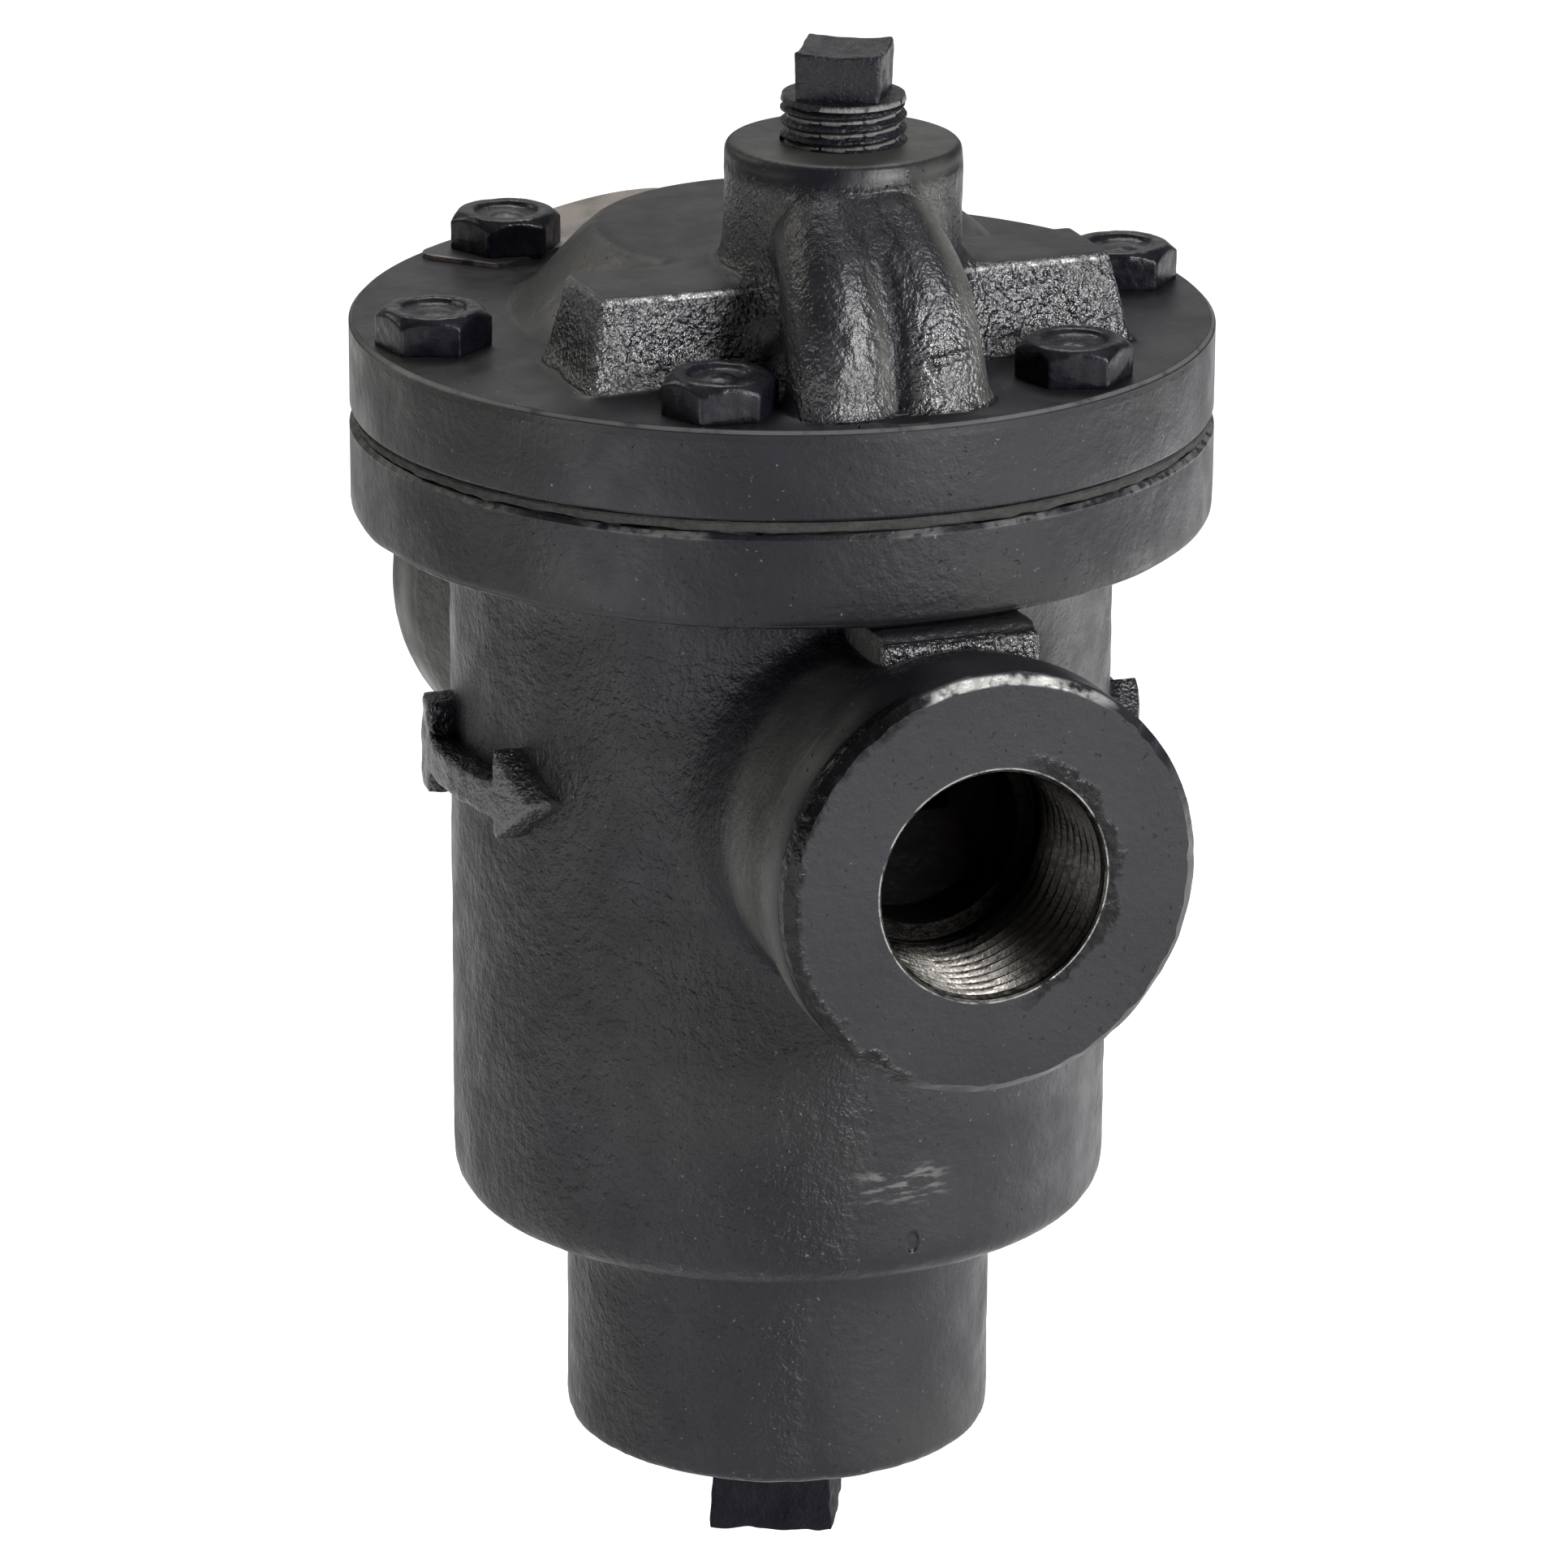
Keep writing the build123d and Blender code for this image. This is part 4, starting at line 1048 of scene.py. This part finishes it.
def cap_hollows():
    """Solids that cut the pocket, seat, plug and outlet bores and the screw holes."""
    seat_hex_top = CAP_Z + 6.0
    seat_top = seat_hex_top + 8.0
    pocket = merge([post(CAP_POCKET_RADIUS, CAP_Z - 1, CAP_TOP_Z + 5),
                    post(SEAT_WELL_RADIUS, CAP_Z - 1, CAP_TOP_Z - 0.5, 0, NECK_Y)])
    carve(pocket, post(SEAT_WELL_RADIUS, seat_hex_top, NECK_TOP_Z, 0, NECK_Y))
    cutters = [pocket, post(SEAT_TAP_RADIUS, CAP_Z, seat_top + 0.5, 0, NECK_Y),
               post(5.2, seat_top, NECK_TOP_Z - 9, 0, NECK_Y),
               post(PLUG_TAP_RADIUS, NECK_TOP_Z - 11, NECK_TOP_Z + 1, 0, NECK_Y, 96),
               rod("-Y", OUTLET_BORE_RADIUS, -NECK_Y, -OUTLET_BORE_Y, (0, 0, OUTLET_BORE_Z), 64),
               post(OUTLET_BORE_RADIUS, CAP_Z - 1, OUTLET_BORE_Z, 0, OUTLET_BORE_Y, 64)]
    cutters += screw_holes(0.3, CAP_Z - 1, CAP_TOP_Z + 1)
    return cutters + [post(1.7, CAP_Z - 1, CAP_Z + 6, x, y, 32) for x, y in BRACKET_SCREWS]


def make_cap():
    casting = remesh(combine("cap", cap_outside()), CAP_VOXEL)
    relax(casting, 3)
    fill_corners(casting, 72)
    relax(casting, 2)
    roughen(casting, cap_skin)
    carve(casting, post(FLANGE_RADIUS + 4, CAP_TOP_Z - 5, CAP_TOP_Z - 1.4, segments=64))
    inset = FLANGE_RADIUS - 0.9
    rim = [(0, CAP_Z - 2), (FLANGE_RADIUS, CAP_Z - 2), (FLANGE_RADIUS, CAP_TOP_Z - 0.5),
           (inset, CAP_TOP_Z + 0.4), (inset, CAP_TOP_Z + 60), (0, CAP_TOP_Z + 60)]
    carve(casting, lathe(rim, segments=360), "INTERSECT")
    cap = merge([casting, flange_disc(CAP_Z, CAP_TOP_Z - 1.2, 0.6, 0.0001)])
    carve_all(cap, cap_hollows())
    set_measure(cap, "grain", cap_grain)
    set_measure(cap, "painted_sheen", cap_painted_sheen)

    def pick(centres):
        x, y, z = centres.T
        inner = (np.hypot(x, y) < CAP_POCKET_RADIUS + 0.1) & (z < CAP_TOP_Z + 5.1) & (z > CAP_Z)
        inner |= (np.hypot(x, y - NECK_Y) < 6.9) & (z < NECK_TOP_Z - 0.2)
        inner |= (np.hypot(x, y - OUTLET_BORE_Y) < 4.0) & (z < OUTLET_BORE_Z)
        return np.select([z < CAP_Z + 0.02, inner], [2, 1], 0)

    finish_piece(cap, "cap_casting", "cap", ["cap"], [PAINT, INSIDE, MACHINED], pick=pick)


# ---- gasket, screws, tag ------------------------------------------------------------------
def make_gasket():
    """Compressed sheet with a ragged edge nearly flush with the flanges and a thin crack below."""
    flush, recess, crack = FLANGE_RADIUS - 0.15, FLANGE_RADIUS - 2.0, BODY_TOP_Z + 0.28
    profile = [(0, BODY_TOP_Z), (recess, BODY_TOP_Z), (recess, crack), (flush - 0.2, crack)]
    profile += [(flush, crack + (CAP_Z - crack) * k / 5) for k in range(1, 5)]
    ring = lathe(profile + [(flush - 0.2, CAP_Z), (0, CAP_Z)], segments=540)
    co = read_coords(ring)
    outside = np.hypot(co[:, 0], co[:, 1]) > flush - 1
    ragged = 0.16 * lumps(co, 1.6) + 0.12 * lumps(co, 0.6, 3.0) + 0.25 * lumps(co, 9.0, 6.0)
    co[outside, :2] *= (1 + ragged[outside] / FLANGE_RADIUS)[:, None]
    edge = outside & (co[:, 2] < crack + 0.05)
    co[edge, 2] += 0.16 * lumps(co[edge], 2.0, 1.0)
    write_coords(ring, co)
    low, high = BODY_TOP_Z - 1, CAP_Z + 1
    passage = block((-5, PASSAGE_Y[0], low), (5, PASSAGE_Y[1], high))
    carve_all(ring, [post(CHAMBER_RADIUS + 0.5, low, high), *screw_holes(0.3, low, high, 32), passage])
    finish_piece(ring, "cap_gasket_ring", "trap", ["cap_gasket"], [GASKET])


def cap_screw(x, y, turn, seat):
    """Hexagon head with a chamfered crown and a dished top, and the thread below it."""
    head = prism([polar(HEX_FLATS / math.sqrt(3), 60 * k + 30) for k in range(6)], 0, HEX_HEIGHT)
    crown = raised(HEX_HEIGHT, (HEX_FLATS / 2 - 0.5, 0), (3.7, 0), (3.3, -0.5), (2.4, -0.62), (1.2, -0.30),
                   (0, -0.22))
    carve(head, lathe([(0, -0.5), (7.5, -0.5), (7.5, 2.2), *crown], segments=96), "INTERSECT")
    head = remesh(head, SCREW_VOXEL)
    relax(head, 2)
    roughen(head, lambda co, _: 0.05 * lumps(co, 0.9, turn) + 0.06 * lumps(co, 2.2, turn))
    move(head, (x, y, seat), turn)
    shank = thread(SCREW_RADIUS - 0.05, SCREW_RADIUS - 0.5, BOLT_PITCH, CAP_TOP_Z - 19.5, CAP_Z + 1,
                   segments=32, steps=6, fade=1.0)
    move(shank, (x, y, 0))
    return [head, merge([shank, post(SCREW_RADIUS - 0.1, CAP_Z, seat + 0.6, x, y, 32)])]


def make_screws():
    parts = []
    for index, (place, turn) in enumerate(zip(bolt_places(), SCREW_TURNS)):
        parts += cap_screw(*place, turn, CAP_TOP_Z + (TAG_THICK if index == TAG_SCREW else 0))
    screws = combine("screws", parts)
    finish_piece(screws, "cap_screw_set", "cap", ["cap_screws"], [STEEL], 50)


def tag_outline():
    """Sector of a ring with rounded corners."""
    outline = []
    for radius, angle, turn in ((TAG_OUTER, TAG_START, -90), (TAG_OUTER, TAG_END, 0),
                                (TAG_INNER, TAG_END, 90), (TAG_INNER, TAG_START, 180)):
        inset = radius - TAG_CORNER if radius == TAG_OUTER else radius + TAG_CORNER
        step = math.degrees(TAG_CORNER / radius)
        angle = angle + step if angle == TAG_START else angle - step
        outline += arc(polar(inset, angle), TAG_CORNER, angle + turn, angle + turn + 90)
        if turn == -90:
            outline += [polar(radius, a) for a in np.linspace(TAG_START + 4, TAG_END - 4, 20)]
        if turn == 90:
            outline += [polar(radius, a) for a in np.linspace(TAG_END - 5, TAG_START + 5, 20)]
    return outline


def make_tag():
    """Blank tag held by one cap screw, with its free end bent up."""
    tag = prism(tag_outline(), CAP_TOP_Z + 0.02, CAP_TOP_Z + TAG_THICK)
    mesh = bmesh.new()
    mesh.from_mesh(tag.data)
    for angle in np.arange(TAG_START + 2, TAG_FLAT_FROM, 2.0):
        along, across = polar(1, angle)
        bmesh.ops.bisect_plane(mesh, geom=mesh.verts[:] + mesh.edges[:] + mesh.faces[:],
                               plane_co=(0, 0, 0), plane_no=(-across, along, 0))
    mesh.to_mesh(tag.data)
    mesh.free()
    co = read_coords(tag)
    turn = np.degrees(np.arctan2(co[:, 1], co[:, 0]))
    co[:, 2] += 1.9 * ease(-turn, -TAG_FLAT_FROM, -90)
    write_coords(tag, co)
    x, y = bolt_places()[TAG_SCREW]
    carve(tag, post(SCREW_RADIUS + 0.3, CAP_Z, CAP_TOP_Z + 2, x, y, 48))
    finish_piece(tag, "blank_tag", "cap", ["nameplate"], [TAG])


# ---- plugs and strainer -------------------------------------------------------------------
def square_head(size, low, high, turn, dish, flare, voxel):
    """Cast square head with a dished rough end; dish > 0 hollows the top."""
    half = size / 2
    head = remesh(block((-half, -half, low), (half, half, high)), voxel)
    relax(head, 3)
    co = read_coords(head)
    height = (co[:, 2] - low) / (high - low)
    reach = np.minimum(np.hypot(co[:, 0], co[:, 1]) / half, 1.35) / 1.35
    co[:, 2] += dish * (reach**2 - 0.7) * ease(height, 0.6, 1.0)
    co[:, :2] *= 1 + flare * ease(height, 0.3, 1.0)[:, None]
    write_coords(head, co)
    roughen(head, lambda c, _: 0.14 * lumps(c, 1.3) + 0.14 * lumps(c, 3.0, 4.0))
    move(head, (0, 0, 0), turn)
    return head


def make_test_plug():
    shank_top = NECK_TOP_Z + 5.1
    shank = thread(6.8, 6.05, PLUG_PITCH, NECK_TOP_Z - 10.5, shank_top - 0.3, steps=10, fade=0.7)
    collar = raised(shank_top, (6.1, -0.8), (6.75, -0.7), (6.6, -0.1), (6.2, 0), (0, 0))
    core = lathe([(0, NECK_TOP_Z), (6.1, NECK_TOP_Z), *collar], segments=96)
    head = square_head(9.2, shank_top - 0.6, PLUG_TOP_Z - 0.1, -30, 0.9, 0.02, PLUG_VOXEL)
    plug = combine("plug", [merge([shank, core]), head])
    move(plug, (0, NECK_Y, 0))
    set_measure(plug, "grain", lambda co, _: np.full(len(co), 0.5))
    finish_piece(plug, "test_plug_square", "test_plug", ["test_plug"], [PLUG_PAINT])


def make_drain_plug():
    head = square_head(13.7, 0.0, BOSS_Z + 0.8, -26, 0.0, 0.0, DRAIN_VOXEL)
    co = read_coords(head)
    low = ease(-co[:, 2], -3.5, 0)
    co[:, :2] *= 1 + 0.05 * low[:, None]
    co[:, 2] += low * (0.4 * lumps(co, 4.0) - 0.2)
    write_coords(head, co)
    shank = thread(10.2, 9.2, PORT_PITCH, BOSS_Z + 0.2, BOSS_Z + 15)
    plug = combine("drain", [head, shank])
    finish_piece(plug, "drain_plug_square", "drain_plug", ["drain_plug"], [DRAIN_PAINT])


def make_screen():
    """Perforated sheet rolled into a tube."""
    low, high = (corner.z for corner in box_mm("strainer_screen"))
    outer, wall, around, rows, sides = 8.6, 0.4, 36, 17, 8
    pitch_u, pitch_z = 2 * math.pi / around, (high - low) / rows
    verts, faces = [], []
    for skin, i, j, inner, k in np.ndindex(2, around, rows, 2, sides):
        radius, ring = outer - wall * skin, (1.0, 0.62)[inner]
        u, v = spoke(1, 2 * math.pi * (k + 0.5) / sides)
        if not inner:
            stretch = 1 / max(abs(u), abs(v))
            u, v = u * stretch, v * stretch
        turn = (i + 0.5 + 0.5 * u * ring) * pitch_u
        verts.append((*spoke(radius, turn), low + (j + 0.5 + 0.5 * v * ring) * pitch_z))
    layer = around * rows * sides * 2
    for cell in range(around * rows):
        for k in range(sides):
            m = (k + 1) % sides
            a, b = cell * sides * 2 + k, cell * sides * 2 + m
            c, d = a + sides, b + sides
            faces += [(a, b, d, c), (a + layer, c + layer, d + layer, b + layer),
                      (c, d, d + layer, c + layer)]
    screen = new_object("screen", verts, faces)
    finish_piece(screen, "perforated_screen", "drain_plug", ["strainer_screen"], [ROLLED])


def make_bucket():
    """Spun bucket, open below, with a rolled lip and a vent hole in its crown."""
    low, high = (corner.z for corner in box_mm("bucket"))
    radius, wall = 22.0, 0.9
    outside = [(0, high), *list(arc((radius - 2.5, high - 2.5), 2.5, 0, 90, 8))[::-1],
               (radius, low + 3.0), (radius, low + 1.6)]
    lip = list(arc((radius - 0.75, low + 0.8), 0.75, 30, -210, 10))
    inside = [(radius - wall, low + 2.2), *arc((radius - 2.5, high - 2.5), 1.6, 0, 90, 8), (0, high - wall)]
    bucket = lathe([*outside, *lip, *inside], (0, BUCKET_Y, 0), segments=128)
    carve(bucket, post(1.0, high - 5, high + 1, 0, BUCKET_Y + 13, 24))
    finish_piece(bucket, "spun_bucket", "bucket", ["bucket"], [DRAWN])


# ---- CAD nodes that keep their solids -----------------------------------------------------
def dress_cad_nodes():
    finishes = ((DRAWN, "inlet_tube"),
                (ROLLED, "screen_retainer valve_retainer lever fulcrum_bracket bucket_clip"),
                (GROUND, "valve_seat valve_ball fulcrum_pin bracket_screws clip_rivets hanger_pin"))
    for finish, nodes in finishes:
        for node in nodes.split():
            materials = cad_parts[node].data.materials
            materials.clear()
            materials.append(finish)


# ---- floor and light ----------------------------------------------------------------------
def make_floor():
    """Pale floor below the lowest place that the drain plug is drawn down to."""
    corners = [(x, y, FLOOR_LEVEL) for x, y in ((-6, -6), (6, -6), (6, 6), (-6, 6))]
    floor = new_object("floor", corners, [(0, 1, 2, 3)])
    floor.data.materials.append(floor_material())


def softbox(name, place, size, power, colour=(1, 1, 1), aim=(0, 0, 0.09)):
    """Area lamp turned to its aim; places and sizes in metres, power in watts."""
    data = bpy.data.lights.new(name, "AREA")
    data.shape = "RECTANGLE"
    data.size, data.size_y = size
    data.energy = power
    data.color = colour
    lamp = bpy.data.objects.new(name, data)
    lamp.location = place
    lamp.visible_camera = False
    lamp.rotation_euler = (Vector(aim) - Vector(place)).to_track_quat("-Z", "Y").to_euler()
    SCENE.collection.objects.link(lamp)


def make_world():
    """White to the camera, and a dimmer grey room for light and reflections."""
    world = bpy.data.worlds.new("studio")
    world.use_nodes = True
    nodes, links = world.node_tree.nodes, world.node_tree.links
    path = nodes.new("ShaderNodeLightPath")
    strength = nodes.new("ShaderNodeMapRange")
    strength.inputs["To Min"].default_value = 0.18
    strength.inputs["To Max"].default_value = 1.0
    links.new(path.outputs["Is Camera Ray"], strength.inputs["Value"])
    nodes["Background"].inputs["Color"].default_value = (1, 1, 1, 1)
    links.new(strength.outputs[0], nodes["Background"].inputs["Strength"])
    SCENE.world = world
    SCENE.view_settings.view_transform = "Standard"


def make_light():
    """A soft sky and softboxes, which the camera doesn't see: their glints model the black paint."""
    sky = bpy.data.lights.new("overhead", "SUN")
    sky.energy = 0.40
    sky.angle = math.radians(70)
    lamp = bpy.data.objects.new("overhead", sky)
    lamp.rotation_euler = Vector((-0.30, 0.30, -0.86)).to_track_quat("-Z", "Y").to_euler()
    SCENE.collection.objects.link(lamp)
    for lamp in (("front_right", (0.84, -2.12, 0.62), (0.84, 0.54), 82.0),
                 ("front_high", (0.76, -1.50, 1.68), (0.46, 0.46), 40.0),
                 ("low_front", (0.25, -0.23, 0.0), (0.26, 0.12), 0.17),
                 ("low_right", (0.30, -0.02, -0.01), (0.26, 0.10), 0.20),
                 ("low_left", (-0.30, -0.14, 0.04), (0.24, 0.20), 0.46),
                 ("back_left", (-0.62, 0.70, 0.66), (0.5, 0.5), 2.8, (1.0, 0.97, 0.88)),
                 ("back", (0.38, 1.00, 0.46), (0.9, 0.35), 0.52),
                 ("back_floor", (0.50, 1.50, 2.30), (1.4, 1.4), 34.0, (1, 1, 1), (0.50, 1.25, 0.0))):
        softbox(*lamp)


for make in (make_camera, make_floor, make_world, make_light, make_body, make_cap, make_gasket, make_screws,
             make_tag, make_test_plug, make_drain_plug, make_screen, make_bucket, dress_cad_nodes):
    make()
